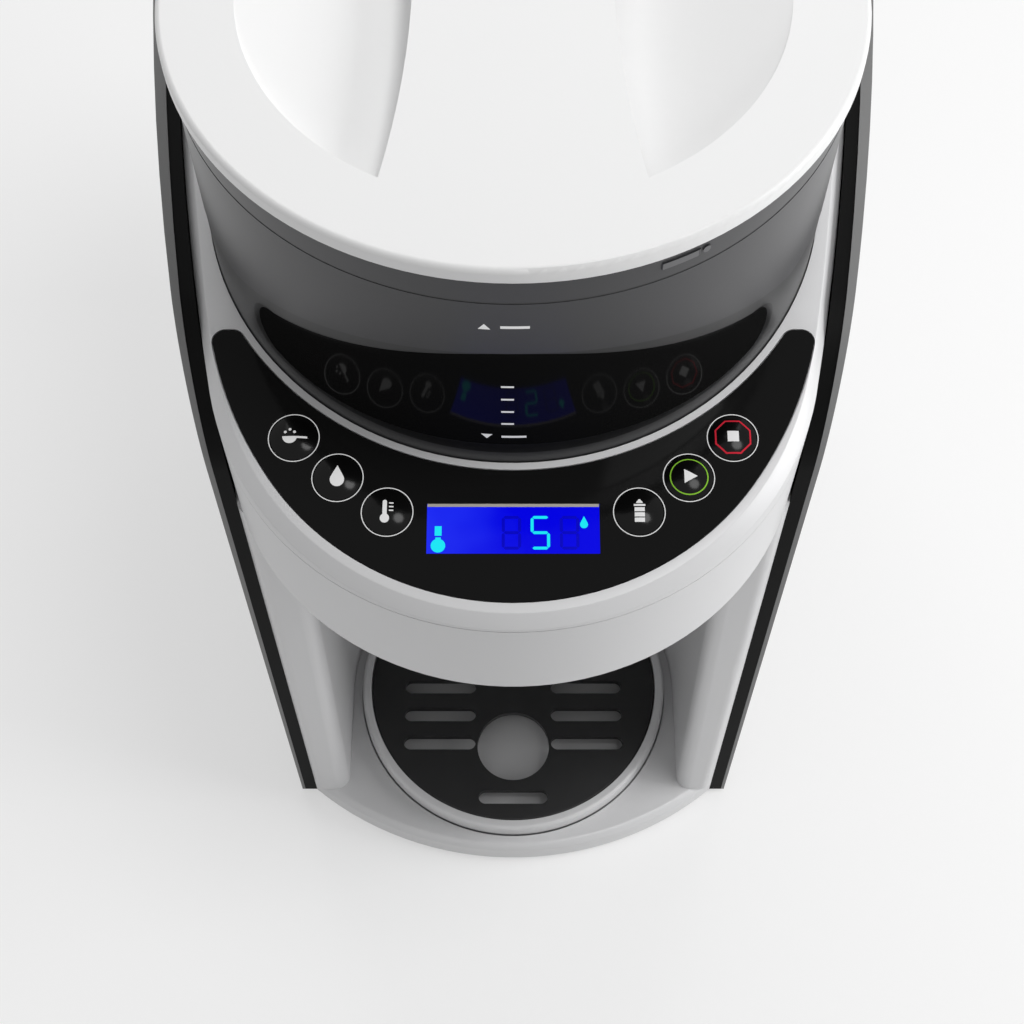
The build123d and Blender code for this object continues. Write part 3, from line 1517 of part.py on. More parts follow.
with BuildPart() as switch_frame:
    with BuildSketch(Plane.XZ.offset(-rear_face_y)):
        with Locations((-inlet_x, rear_fit_z)):
            RectangleRounded(switch_w + 2 * rear_flange, switch_h + 2 * rear_flange, rear_flange_r)
    extrude(amount=rear_flange_t)
    with BuildSketch(Plane.XZ.offset(-rear_face_y)):
        with Locations((-inlet_x, rear_fit_z)):
            Rectangle(switch_w - 2 * rear_clear, switch_h - 2 * rear_clear)
    extrude(amount=switch_depth)
    with BuildSketch(Plane.XZ.offset(-rear_face_y)):
        with Locations((-inlet_x, rear_fit_z)):
            Rectangle(rocker_w, rocker_h)
    extrude(amount=switch_depth - switch_floor_t, mode=Mode.SUBTRACT)
    with BuildSketch(Plane.YZ.offset(-inlet_x)):
        with Locations((pivot_y, rear_fit_z)):
            Circle(rocker_pivot_r + run_fit)
    extrude(amount=rocker_w / 2 + rocker_pivot_len + 2 * rear_clear, both=True, mode=Mode.SUBTRACT)
switch_frame.part.label = "switch_frame"
export_step(switch_frame.part, "parts/switch_frame.step")

with BuildPart() as power_rocker:
    with BuildSketch(Plane.YZ.offset(-inlet_x)):
        with BuildLine():
            half_h = rocker_h / 2 - rocker_end_inset
            back_half_h = half_h - rocker_end_inset
            Polyline(
                (rear_face_y - rocker_end_dip, rear_fit_z - half_h),
                (rear_face_y - rocker_mid_dip, rear_fit_z),
                (rear_face_y + rocker_end_dip, rear_fit_z + half_h),
                (rear_face_y - rocker_t, rear_fit_z + back_half_h),
                (rear_face_y - rocker_t, rear_fit_z - back_half_h),
                close=True,
            )
        make_face()
    extrude(amount=rocker_w / 2 - gap, both=True)
    with BuildSketch(Plane.YZ.offset(-inlet_x)):
        with Locations((pivot_y, rear_fit_z)):
            Circle(rocker_pivot_r)
    extrude(amount=rocker_w / 2 + rocker_pivot_len, both=True)
power_rocker.part.label = "power_rocker"
export_step(power_rocker.part, "parts/power_rocker.step")
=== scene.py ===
from math import ceil, cos, pi, radians, sin, sqrt

import bmesh
import bpy
from mathutils import Matrix, Vector


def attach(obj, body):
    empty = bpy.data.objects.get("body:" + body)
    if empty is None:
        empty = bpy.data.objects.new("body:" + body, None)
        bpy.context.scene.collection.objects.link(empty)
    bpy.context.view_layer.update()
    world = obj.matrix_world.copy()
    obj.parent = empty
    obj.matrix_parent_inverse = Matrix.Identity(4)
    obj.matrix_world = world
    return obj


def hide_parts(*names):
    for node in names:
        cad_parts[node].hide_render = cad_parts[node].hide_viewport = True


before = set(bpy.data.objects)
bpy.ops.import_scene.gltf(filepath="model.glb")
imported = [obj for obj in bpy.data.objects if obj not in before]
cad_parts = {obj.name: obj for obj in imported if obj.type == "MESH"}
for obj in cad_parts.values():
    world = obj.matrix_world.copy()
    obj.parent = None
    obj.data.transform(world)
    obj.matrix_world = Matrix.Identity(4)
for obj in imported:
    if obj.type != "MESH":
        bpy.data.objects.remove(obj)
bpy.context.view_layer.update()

# ---------------------------------------------------------------- camera
# A portrait lens looks steeply down over the front of the machine, and all of it is sharp. The
# small shift sets the machine's middle a little to the right of the frame's.
scene = bpy.context.scene
scene.view_settings.view_transform = "Standard"
camera_data = bpy.data.cameras.new("camera")
camera_data.lens = 58.0
camera_data.sensor_width = 36.0
camera_data.shift_x = -0.0012
camera = bpy.data.objects.new("camera", camera_data)
camera.location = (0.0, -0.34825, 0.6602)
camera.rotation_euler = (radians(28.93), 0.0, 0.0)
scene.collection.objects.link(camera)
scene.camera = camera


# ---------------------------------------------------------------- floor and studio light
# Matt white paper under soft boxes to the right and behind, and a round one above that glints on
# the keys. The right side is bright, the left side in soft shade, and the head shades the bay.
def linear(hex_colour, share=1.0):
    """Linear red, green, blue and alpha of an sRGB hex colour, or of a share of its light."""
    parts = [int(hex_colour[i:i + 2], 16) / 255 for i in (0, 2, 4)]
    light = [c / 12.92 if c <= 0.04045 else ((c + 0.055) / 1.055) ** 2.4 for c in parts]
    return (*(share * c for c in light), 1.0)


def add_node(tree, kind, settings=None, links=None):
    """Adds a node to a tree, sets its properties and sockets, and links its inputs."""
    made = tree.nodes.new(kind)
    for key, value in (settings or {}).items():
        if isinstance(key, str) and hasattr(made, key):
            setattr(made, key, value)
        else:
            made.inputs[key].default_value = value
    for key, (source, output) in (links or {}).items():
        tree.links.new(source.outputs[output], made.inputs[key])
    return made


def new_material(name, **sockets):
    """A material and its Principled shader, its sockets set by name with underscores for spaces."""
    material = bpy.data.materials.new(name)
    material.use_nodes = True
    shader = material.node_tree.nodes["Principled BSDF"]
    for key, value in sockets.items():
        shader.inputs[key.replace("_", " ")].default_value = value
    return material, shader


def piece(name, bm, material, smooth=True):
    """Makes an object at the origin from a bmesh whose vertices are already in place."""
    mesh = bpy.data.meshes.new(name)
    bm.to_mesh(mesh)
    bm.free()
    mesh.materials.append(material)
    for face in mesh.polygons:
        face.use_smooth = smooth
    made = bpy.data.objects.new(name, mesh)
    scene.collection.objects.link(made)
    return made


def straight_rays(tree):
    """One for camera, glossy and transmission rays, nought for the light that falls on things."""
    ray = add_node(tree, "ShaderNodeLightPath")
    straight = add_node(tree, "ShaderNodeMath", {"operation": "MAXIMUM"},
                        {0: (ray, "Is Camera Ray"), 1: (ray, "Is Glossy Ray")})
    return add_node(tree, "ShaderNodeMath", {"operation": "MAXIMUM"},
                    {0: (straight, "Value"), 1: (ray, "Is Transmission Ray")})


# The paper scatters light evenly and keeps the machine's shadow. To the eye it also glows a little,
# and more with the distance in metres, so that it runs into the white room without a line.
white_light = linear("FFFFFF")
backdrop_strength = 0.97
paper, paper_shader = new_material("matt_paper", Base_Color=linear("FAFAFA"), Roughness=0.9,
                                   Specular_IOR_Level=0.1)
tree = paper.node_tree
spot = add_node(tree, "ShaderNodeTexCoord")
reach = add_node(tree, "ShaderNodeVectorMath", {"operation": "LENGTH"}, {0: (spot, "Object")})
fade = add_node(tree, "ShaderNodeMapRange",
                {"From Min": 0.5, "From Max": 2.2, "To Min": 0.5, "To Max": 1.0},
                {"Value": (reach, "Value")})
share = add_node(tree, "ShaderNodeMath", {"operation": "MULTIPLY"},
                 {0: (straight_rays(tree), "Value"), 1: (fade, "Result")})
bright = add_node(tree, "ShaderNodeEmission",
                  {"Color": white_light, "Strength": backdrop_strength})
lit_paper = add_node(tree, "ShaderNodeMixShader", {}, {
    0: (share, "Value"), 1: (paper_shader, "BSDF"), 2: (bright, "Emission"),
})
tree.links.new(lit_paper.outputs["Shader"], tree.nodes["Material Output"].inputs["Surface"])
half_floor = 3.0
bm = bmesh.new()
bmesh.ops.create_grid(bm, x_segments=2, y_segments=2, size=half_floor)
floor = piece("floor", bm, paper, smooth=False)

world = bpy.data.worlds.new("studio")
scene.world = world
world.use_nodes = True
tree = world.node_tree
tree.nodes.clear()
room = add_node(tree, "ShaderNodeBackground", {"Color": white_light, "Strength": 0.38})
white = add_node(tree, "ShaderNodeBackground",
                 {"Color": white_light, "Strength": backdrop_strength})
mixed = add_node(tree, "ShaderNodeMixShader", {}, {
    0: (straight_rays(tree), "Value"), 1: (room, "Background"), 2: (white, "Background"),
})
add_node(tree, "ShaderNodeOutputWorld", {}, {"Surface": (mixed, "Shader")})


aim = Vector((0.0, 0.0, 0.15))


def soft_box(name, place, width, height, watts, shape="RECTANGLE"):
    """A studio light that faces the middle of the machine."""
    data = bpy.data.lights.new(name, "AREA")
    data.shape = shape
    data.size = width
    data.size_y = height
    data.energy = watts
    lamp = bpy.data.objects.new(name, data)
    lamp.location = place
    lamp.rotation_euler = (aim - Vector(place)).to_track_quat("-Z", "Y").to_euler()
    scene.collection.objects.link(lamp)


soft_box("right_box", (1.4, -0.1, 0.7), 0.8, 1.0, 12.5)
soft_box("back_box", (0.0, 1.2, 1.5), 1.4, 1.0, 8.2)
soft_box("round_box", (0.4, -0.15, 1.6), 0.45, 0.45, 4.8, shape="ELLIPSE")


# ---------------------------------------------------------------- base, its plate and feet
# Base tray moulded in ABS and painted pearl silver; under it a black plate held by four steel
# screws, and four rubber feet.
def moulded(name, colour, roughness, grain, depth, **sockets):
    """A moulded, painted, plated or cast surface, with a fine orange peel over all of it.

    'grain' is how wide the peel is and 'depth' how deep, both in metres. The roughness varies by
    6 percent and the colour by 1 percent, in clouds about 17 cm wide.
    """
    material, shader = new_material(name, **sockets)
    tree = material.node_tree
    place = add_node(tree, "ShaderNodeTexCoord")
    peel = add_node(tree, "ShaderNodeTexNoise", {"Scale": 1.0 / grain, "Detail": 3.0},
                    {"Vector": (place, "Object")})
    cloud = add_node(tree, "ShaderNodeTexNoise", {"Scale": 6.0, "Detail": 0.0},
                     {"Vector": (place, "Object")})
    gloss = add_node(tree, "ShaderNodeMapRange",
                     {"To Min": roughness * 0.94, "To Max": roughness * 1.06},
                     {"Value": (cloud, "Fac")})
    shade = add_node(tree, "ShaderNodeValToRGB", {}, {"Fac": (cloud, "Fac")})
    shade.color_ramp.elements[0].color = linear(colour, 0.99)
    shade.color_ramp.elements[1].color = linear(colour)
    bump = add_node(tree, "ShaderNodeBump", {"Strength": 0.35, "Distance": depth},
                    {"Height": (peel, "Fac")})
    tree.links.new(shade.outputs["Color"], shader.inputs["Base Color"])
    tree.links.new(gloss.outputs["Result"], shader.inputs["Roughness"])
    tree.links.new(bump.outputs["Normal"], shader.inputs["Normal"])
    return material


def dress(node, material, crease=35.0, flat=True):
    """Gives a CAD node its material and smooth shading between creases, flat faces kept flat."""
    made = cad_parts[node]
    made.data.materials.clear()
    made.data.materials.append(material)
    for face in made.data.polygons:
        face.use_smooth = True
        face.material_index = 0
    weld = made.modifiers.new("weld", "WELD")
    weld.merge_threshold = 1e-6
    split = made.modifiers.new("creases", "EDGE_SPLIT")
    split.split_angle = radians(crease)
    if flat:
        made.modifiers.new("flat_faces", "WEIGHTED_NORMAL").mode = "FACE_AREA_WITH_ANGLE"
    return made


# Pearl paint: pale, only faintly metallic, under a soft, wide highlight.
silver_paint = moulded("silver_painted_abs", "D6D6D7", 0.40, 0.0006, 0.00003,
                       Metallic=0.1, Specular_IOR_Level=0.35)
# Satin black ABS shows a dull sheen, rubber hardly any, and zinc plate blurred reflections.
black_abs = moulded("black_satin_abs", "171718", 0.42, 0.0008, 0.00004)
foot_rubber = moulded("moulded_rubber", "1C1C1C", 0.8, 0.0010, 0.00006)
zinc_steel = moulded("zinc_plated_steel", "A9ABAD", 0.35, 0.0004, 0.00002, Metallic=1.0)
dress("base_shell", silver_paint)
dress("base_plate", black_abs)
dress("rubber_feet", foot_rubber)
dress("base_screws", zinc_steel)

# ---------------------------------------------------------------- columns, casing and black trims
# The silver columns and the grey rear casing are separate ABS mouldings; a black strip fills the
# joint between them from the foot over the shoulder. Both colours are nearly matt.
grey_abs = moulded("grey_satin_abs", "828282", 0.5, 0.0007, 0.00004, Specular_IOR_Level=0.25)
trim_abs = moulded("black_trim_abs", "0C0C0C", 0.5, 0.0008, 0.00003, Specular_IOR_Level=0.06)
dress("column_housing", silver_paint)
dress("rear_casing", grey_abs)
dress("side_trims", trim_abs)

# ---------------------------------------------------------------- head: band, floor and top shell
# A band goes round the head under a fine parting line; above it the top shell, in the same pearl
# silver, slopes to the front and holds the panel and the container's pocket.
dress("front_band", silver_paint)
dress("head_floor", black_abs)
dress("head_shell", silver_paint, flat=False)
dress("container_pocket", black_abs)

# ---------------------------------------------------------------- control panel and display
# A crescent of polished acrylic, printed black from behind, with sharp but weak reflections. It has
# the clear window of a blue backlit display, whose lit segments are cyan and whose unlit ones are a
# little darker than the backlight.
black_acrylic = moulded("black_acrylic", "151515", 0.07, 0.0030, 0.00001,
                        Specular_IOR_Level=0.05)
dress("control_overlay", black_acrylic)

container_y = -0.022  # the axis of the container
panel_z = 0.2759  # the height at which the panel's slope would meet that axis
deck_tilt = radians(7.9)
deck = Matrix.Translation((0.0, container_y, panel_z)) @ Matrix.Rotation(deck_tilt, 4, "X")
same_spot = 1e-7  # vertices nearer than this are one
flat_cell = 0.01  # larger than any figure, for artwork that lies flat and needs no dividing


def on_deck(x, y_from_axis, lift=0.0):
    """Places flat artwork on the sloping panel, at a spot in plan from the container's axis."""
    return deck @ Matrix.Translation((x, y_from_axis / cos(deck_tilt), lift))


def patch(bm, corners, cell=0.0006):
    """Adds a flat convex patch, corners anticlockwise, divided finely enough to lie on a curve."""
    low = Vector((min(c[0] for c in corners), min(c[1] for c in corners), 0.0))
    high = Vector((max(c[0] for c in corners), max(c[1] for c in corners), 0.0))
    size = high - low
    cut = bmesh.new()
    bmesh.ops.create_grid(
        cut, x_segments=ceil(size.x / cell), y_segments=ceil(size.y / cell), size=0.5)
    bmesh.ops.scale(cut, vec=(size.x, size.y, 1.0), verts=cut.verts)
    bmesh.ops.translate(cut, vec=(low + high) / 2, verts=cut.verts)
    for start, end in zip(corners, corners[1:] + corners[:1]):
        side = Vector((end[0] - start[0], end[1] - start[1])).normalized()
        bmesh.ops.bisect_plane(
            cut, geom=cut.verts[:] + cut.edges[:] + cut.faces[:], dist=same_spot,
            plane_co=(start[0], start[1], 0.0), plane_no=(side[1], -side[0], 0.0), clear_outer=True)
    mesh = bpy.data.meshes.new("patch")
    cut.to_mesh(mesh)
    cut.free()
    bm.from_mesh(mesh)
    bpy.data.meshes.remove(mesh)


def arc(x, y, radius, start=0.0, end=360.0, steps=32):
    """Corners along an arc, anticlockwise, angles in degrees."""
    turn = end - start
    count = steps if turn == 360.0 else steps + 1
    angles = [radians(start + turn * k / steps) for k in range(count)]
    return [(x + radius * cos(a), y + radius * sin(a)) for a in angles]


def bar(x0, y0, x1, y1):
    """Corners of an upright rectangle."""
    return [(x0, y0), (x1, y0), (x1, y1), (x0, y1)]


def ring(bm, outer, inner, sides=72, turn=0.0, cuts=0):
    """Makes an empty bmesh a flat ring with so many sides, divided by cuts to lie on a curve."""
    made = bmesh.ops.create_circle(bm, segments=sides, radius=outer)["verts"]
    grown = bmesh.ops.extrude_edge_only(bm, edges=bm.edges[:])["geom"]
    inside = [item for item in grown if isinstance(item, bmesh.types.BMVert)]
    bmesh.ops.scale(bm, vec=(inner / outer, inner / outer, 1.0), verts=inside)
    bmesh.ops.rotate(bm, matrix=Matrix.Rotation(turn, 3, "Z"), verts=made + inside)
    if cuts:
        bmesh.ops.subdivide_edges(bm, edges=bm.edges[:], cuts=cuts, use_grid_fill=True)


def turn_faces(bm, towards=(0.0, 0.0, 1.0)):
    """Turns every face of a figure to the side it is seen from: above, where it still lies flat."""
    bmesh.ops.recalc_face_normals(bm, faces=bm.faces)
    bm.normal_update()
    wrong = [face for face in bm.faces if face.normal.dot(Vector(towards)) < 0.0]
    bmesh.ops.reverse_faces(bm, faces=wrong)


# The backlight is brightest at the left end and fades to deep blue on the right, in soft clouds.
blue_light, blue_shader = new_material(
    "blue_backlight", Base_Color=linear("000010"), Roughness=0.12, Specular_IOR_Level=0.05,
    Emission_Strength=1.0)
tree = blue_light.node_tree
blue_place = add_node(tree, "ShaderNodeTexCoord")
blue_axes = add_node(tree, "ShaderNodeSeparateXYZ", {}, {"Vector": (blue_place, "Object")})
blue_cloud = add_node(tree, "ShaderNodeTexNoise", {"Scale": 90.0, "Detail": 1.0},
                      {"Vector": (blue_place, "Object")})
blue_spread = add_node(tree, "ShaderNodeMath", {"operation": "MULTIPLY", 1: 0.02},
                       {0: (blue_cloud, "Fac")})
blue_along = add_node(tree, "ShaderNodeMath", {"operation": "ADD"},
                      {0: (blue_axes, "X"), 1: (blue_spread, "Value")})
blue_fade = add_node(tree, "ShaderNodeMapRange", {"From Min": -0.024, "From Max": 0.012},
                     {"Value": (blue_along, "Value")})
blue_ramp = add_node(tree, "ShaderNodeValToRGB", {}, {"Fac": (blue_fade, "Result")})
blue_ramp.color_ramp.elements[0].color = linear("2434F8")
blue_ramp.color_ramp.elements[1].color = linear("0202E2")
tree.links.new(blue_ramp.outputs["Color"], blue_shader.inputs["Emission Color"])
dress("display_lens", blue_light)
dress("display_module", black_acrylic)


def lit_ink(name, colour, glow):
    """Ink or a lit segment: the share 'glow' of its colour is given off, the rest is reflected."""
    return new_material(
        name, Base_Color=linear(colour, 1.0 - glow), Roughness=0.2, Specular_IOR_Level=0.05,
        Emission_Color=linear(colour), Emission_Strength=glow)[0]


def segments(bm, x, lit=None):
    """Adds a seven-segment figure, 5.3 mm wide and 9.8 mm high, with its lit bars or with all."""
    y = -0.0012
    half_w, half_h, t, gap = 0.00225, 0.0045, 0.00042, 0.0005
    spots = {
        "top": (0, half_h, 0), "middle": (0, 0, 0), "bottom": (0, -half_h, 0),
        "top_left": (-half_w, half_h / 2, 1), "top_right": (half_w, half_h / 2, 1),
        "low_left": (-half_w, -half_h / 2, 1), "low_right": (half_w, -half_h / 2, 1),
    }
    for name in lit or spots:
        dx, dy, upright = spots[name]
        length = (half_h / 2 if upright else half_w) - gap
        shape = [(-length, -t), (length, -t), (length + t, 0),
                 (length, t), (-length, t), (-length - t, 0)]
        if upright:
            shape = [(-b, a) for a, b in shape]
        patch(bm, [(x + dx + a, y + dy + b) for a, b in shape], cell=flat_cell)


# Artwork for the window: a five, a thermometer at the left end and a drop at the right end. The lit
# bars lie a hair over the unlit ones, so that neither shows through the other.
display_y = -0.1106
lit_lift, unlit_lift = 0.00006, 0.00005
lit_cyan = lit_ink("lit_cyan_segment", "1CE6F4", 1.0)
unlit = lit_ink("unlit_segment", "0202BE", 1.0)
bm = bmesh.new()
segments(bm, 0.00745, ("top", "top_left", "middle", "low_right", "bottom"))
patch(bm, arc(-0.02065, -0.0050, 0.0020), cell=flat_cell)
patch(bm, bar(-0.0214, -0.0036, -0.0199, -0.0026), cell=flat_cell)
patch(bm, bar(-0.0216, -0.0021, -0.0197, 0.0007), cell=flat_cell)
patch(bm, arc(0.0195, 0.0012, 0.0011, -210.0, 30.0) + [(0.0195, 0.0037)], cell=flat_cell)
turn_faces(bm)
bmesh.ops.transform(bm, matrix=on_deck(0.0, display_y, lit_lift), verts=bm.verts)
lit_figures = piece("display_figures", bm, lit_cyan, smooth=False)
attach(lit_figures, "housing")

bm = bmesh.new()
for x in (-0.0005, 0.0155):
    segments(bm, x)
turn_faces(bm)
bmesh.ops.transform(bm, matrix=on_deck(0.0, display_y, unlit_lift), verts=bm.verts)
unlit_figures = piece("display_unlit_figures", bm, unlit, smooth=False)
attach(unlit_figures, "housing")

# The glass's far edge along the top of the window, its highlight painted in as pale warm grey.
edge_highlight_grey = new_material(
    "display_edge_painted_highlight", Base_Color=linear("B8B2A8"), Roughness=0.3)[0]
bm = bmesh.new()
patch(bm, bar(-0.0237, 0.0064, 0.0237, 0.0073), cell=flat_cell)
bmesh.ops.transform(bm, matrix=on_deck(0.0, display_y, unlit_lift), verts=bm.verts)
display_edge = piece("display_edge", bm, edge_highlight_grey, smooth=False)
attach(display_edge, "housing")

# ---------------------------------------------------------------- electronics under the panel
# Glass-fibre circuit board with nylon posts and tact switches under the keys. The board is a deep
# satin green, the nylon a waxy off-white.
board_green = moulded("glass_fibre_board", "1E5A34", 0.4, 0.0008, 0.00003)
natural_nylon = moulded("natural_nylon", "DAD8CE", 0.45, 0.0010, 0.00004)
dress("control_board", board_green)
dress("board_posts", natural_nylon)
dress("tact_switches", black_abs)

# ---------------------------------------------------------------- six keys
# Domed black acrylic caps, each in a thin white printed ring, with a white symbol printed on top;
# the start key has a green ring and the stop key a red octagon inside the white one.
key_r, key_rise = 0.0067, 0.0014
dome_r = (key_r**2 + key_rise**2) / (2 * key_rise)
flange_r, flange_top, flange_low = 0.0082, -0.0033, -0.0043  # holds the cap under the panel
ring_r, ring_hole = 0.00728, 0.00702
print_lift, colour_lift = 0.00004, 0.00005


def lay_on_dome(bm, lift):
    """Lifts flat artwork on to the domed cap."""
    for vert in bm.verts:
        out = min(vert.co.x**2 + vert.co.y**2, key_r**2)
        vert.co.z += sqrt(dome_r**2 - out) - dome_r + key_rise + lift


def scoop(bm):
    """Powder: a measuring scoop with three grains above it."""
    patch(bm, arc(-0.0010, 0.0, 0.0021, 180.0, 360.0))
    patch(bm, bar(0.0009, -0.0006, 0.0039, 0.0))
    for x, y in ((-0.0023, 0.0013), (-0.0010, 0.0021), (0.0003, 0.0013)):
        patch(bm, arc(x, y, 0.00042))


def drop(bm):
    """Water: a drop."""
    patch(bm, arc(0.0, -0.0010, 0.0020, -210.0, 30.0) + [(0.0, 0.0033)])


def thermometer(bm):
    """Temperature: a thermometer with three marks."""
    patch(bm, arc(-0.0006, -0.0022, 0.0013))
    patch(bm, bar(-0.0012, -0.0018, 0.0, 0.0026))
    patch(bm, arc(-0.0006, 0.0026, 0.0006, 0.0, 180.0))
    for y in (0.0022, 0.0011, 0.0):
        patch(bm, bar(0.0006, y - 0.0002, 0.0018, y + 0.0002))


def bottle(bm):
    """Volume: a feeding bottle with its level marks."""
    for low in (-0.0033, -0.0018, -0.0003):
        patch(bm, bar(-0.0014, low, 0.0014, low + 0.0012))
    patch(bm, bar(-0.0016, 0.0013, 0.0016, 0.0019))
    patch(bm, arc(0.0, 0.0022, 0.0009, 0.0, 180.0))
    patch(bm, arc(0.0, 0.0030, 0.0004))


def start_sign(bm):
    """Start: a triangle that points to the right."""
    patch(bm, [(-0.0014, -0.0021), (0.0023, 0.0), (-0.0014, 0.0021)])


def stop_sign(bm):
    """Stop: a square."""
    patch(bm, bar(-0.0016, -0.0016, 0.0016, 0.0016))


# The caps are blacker than the panel and blur the studio light to a small grey glint. The inks are
# opaque, and glow a little with painted light, so that they read bright in the shade.
key_acrylic = moulded("black_key_acrylic", "0C0C0C", 0.14, 0.0030, 0.00001,
                      Specular_IOR_Level=0.14)
# Painted light: these printed inks give off part of their own colour, like a faint lamp.
glowing_white_ink = lit_ink("white_ink_painted_glow", "EEEEEE", 0.4)
glowing_green_ink = lit_ink("green_ink_painted_glow", "8CC83C", 0.3)
glowing_red_ink = lit_ink("red_ink_painted_glow", "D22A3C", 0.3)
keys = {  # across, forwards from the container's axis, symbol
    "powder": (-0.0617, -0.08365, scoop),
    "water": (-0.04895, -0.0956, drop),
    "temperature": (-0.03485, -0.10575, thermometer),
    "volume": (0.03485, -0.10575, bottle),
    "start": (0.04895, -0.0956, start_sign),
    "stop": (0.0617, -0.08365, stop_sign),
}
for key, (x, y, symbol) in keys.items():
    here = on_deck(x, y)
    bm = bmesh.new()
    profile = [bm.verts.new((key_r * k / 12, 0.0, 0.0)) for k in range(13)]
    for vert in profile:
        vert.co.z = sqrt(dome_r**2 - vert.co.x**2) - dome_r + key_rise
    for across, height in ((key_r, flange_top), (flange_r, flange_top),
                           (flange_r, flange_low), (0.0, flange_low)):
        profile.append(bm.verts.new((across, 0.0, height)))
    edges = [bm.edges.new(pair) for pair in zip(profile, profile[1:])]
    bmesh.ops.spin(
        bm, geom=profile + edges, angle=2 * pi, steps=64, axis=(0, 0, 1), use_merge=True)
    bmesh.ops.remove_doubles(bm, verts=bm.verts, dist=same_spot)
    bmesh.ops.recalc_face_normals(bm, faces=bm.faces)
    bmesh.ops.transform(bm, matrix=here, verts=bm.verts)
    cap = piece(key + "_key_cap", bm, key_acrylic)
    cap.modifiers.new("rim", "EDGE_SPLIT").split_angle = radians(40)
    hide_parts(key + "_button")
    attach(cap, key + "_key")

    bm = bmesh.new()
    symbol(bm)
    turn_faces(bm)
    lay_on_dome(bm, print_lift)
    bmesh.ops.transform(bm, matrix=here, verts=bm.verts)
    sign = piece(key + "_key_symbol", bm, glowing_white_ink)
    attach(sign, key + "_key")

    bm = bmesh.new()
    ring(bm, ring_r, ring_hole)
    turn_faces(bm)
    bmesh.ops.transform(
        bm, matrix=here @ Matrix.Translation((0, 0, print_lift)), verts=bm.verts)
    circle = piece(key + "_key_ring", bm, glowing_white_ink)
    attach(circle, "housing")

for key, sides, radius, width, turn, cuts, ink in (
    ("start", 72, 0.0054, 0.00034, 0.0, 0, glowing_green_ink),
    ("stop", 8, 0.0055, 0.0005, pi / 8, 6, glowing_red_ink),
):
    x, y = keys[key][:2]
    bm = bmesh.new()
    ring(bm, radius, radius - width, sides=sides, turn=turn, cuts=cuts)
    turn_faces(bm)
    lay_on_dome(bm, colour_lift)
    bmesh.ops.transform(bm, matrix=on_deck(x, y), verts=bm.verts)
    band = piece(key + "_key_colour_ring", bm, ink)
    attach(band, key + "_key")

# ---------------------------------------------------------------- powder container
# The wall is smoke-tinted copolyester, an even dark grey with powder behind it, and its soft gloss
# is light at the sides and dark in front. Below its arched edge a darker skirt carries a glossy
# black window with rounded ends, in a nearly black satin frame that is wider along the bottom.
smoke = moulded("smoke_copolyester", "434345", 0.32, 0.0030, 0.00002, Specular_IOR_Level=0.35)
dark_smoke = moulded("dark_smoke_copolyester", "2E2E2F", 0.35, 0.0030, 0.00002,
                     Specular_IOR_Level=0.5)
frame_satin = moulded("satin_window_frame", "161617", 0.3, 0.0030, 0.00002,
                      Specular_IOR_Level=0.2)
dress("powder_container", smoke)
dress("container_collar", smoke)
dress("container_skirt", dark_smoke)
dress("container_floor", natural_nylon)
dress("powder_scraper", natural_nylon)
wall_r = 0.091


def wrap(bm, radius):
    """Bends flat artwork, x along the wall and y upwards, round the container's front."""
    for vert in bm.verts:
        angle, height = vert.co.x / radius, vert.co.y
        vert.co = (radius * sin(angle), container_y - radius * cos(angle), height)
    turn_faces(bm, towards=(0.0, -1.0, 0.0))


def sleeve(name, radius, low, high, material):
    """A thin round sleeve on the container's axis."""
    bm = bmesh.new()
    bmesh.ops.create_cone(bm, segments=360, radius1=radius, radius2=radius, depth=high - low)
    bmesh.ops.translate(bm, vec=(0.0, container_y, (low + high) / 2), verts=bm.verts)
    made = piece(name, bm, material)
    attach(made, "container")


# The window's upper edge: two straight slopes that meet in a rounded crest.
crest_z, crest_slope, crest_round = 0.3164, 0.375, 0.022


def window_sheet(name, radius, material, cap, cap_half, cap_z, low, low_rise, power):
    """A curved sheet in the window's outline: arched top, rounded ends, bottom that rises outwards.

    The ends start at 'cap' along the wall from the middle and are half ellipses about 'cap_z'. The
    bottom is at 'low' in the middle, and has risen by 'low_rise' where the ends start.
    """
    def top(along):
        return crest_z - crest_slope * (sqrt(along**2 + crest_round**2) - crest_round)

    def bottom(along):
        return low + low_rise * (along / cap) ** power

    bm = bmesh.new()
    bmesh.ops.create_grid(bm, x_segments=240, y_segments=4, size=1.0)
    for vert in bm.verts:
        along = (cap + cap_half) * sin(vert.co.x * pi / 2)
        past = max(abs(along) - cap, 0.0) / cap_half
        squeeze = sqrt(max(1.0 - past**2, 0.0))
        held = min(abs(along), cap)
        high_z = cap_z + (top(held) - cap_z) * squeeze if past else top(held)
        low_z = cap_z + (bottom(held) - cap_z) * squeeze if past else bottom(held)
        vert.co = (along, low_z + (high_z - low_z) * (vert.co.y + 1.0) / 2, 0.0)
    bmesh.ops.remove_doubles(bm, verts=bm.verts, dist=same_spot)
    wrap(bm, radius)
    made = piece(name, bm, material)
    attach(made, "container")
    return made


# These faces lie within 0.2 mm of the wall's outside, the frame over the skirt and the film over
# the frame.
sleeve("skirt_face", wall_r - 0.00017, 0.2412, 0.3180, dark_smoke)
sleeve("collar_groove_face", wall_r - 0.00015, 0.3370, 0.3384, dark_smoke)
window_sheet("window_frame_face", wall_r - 0.00013, frame_satin,
             cap=0.073, cap_half=0.0103, cap_z=0.284, low=0.2683, low_rise=0.0057, power=2)
film = window_sheet("window_film", wall_r - 0.00009, black_acrylic,
                    cap=0.072, cap_half=0.0082, cap_z=0.2855, low=0.2728, low_rise=0.0032, power=6)
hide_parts("window_panel")
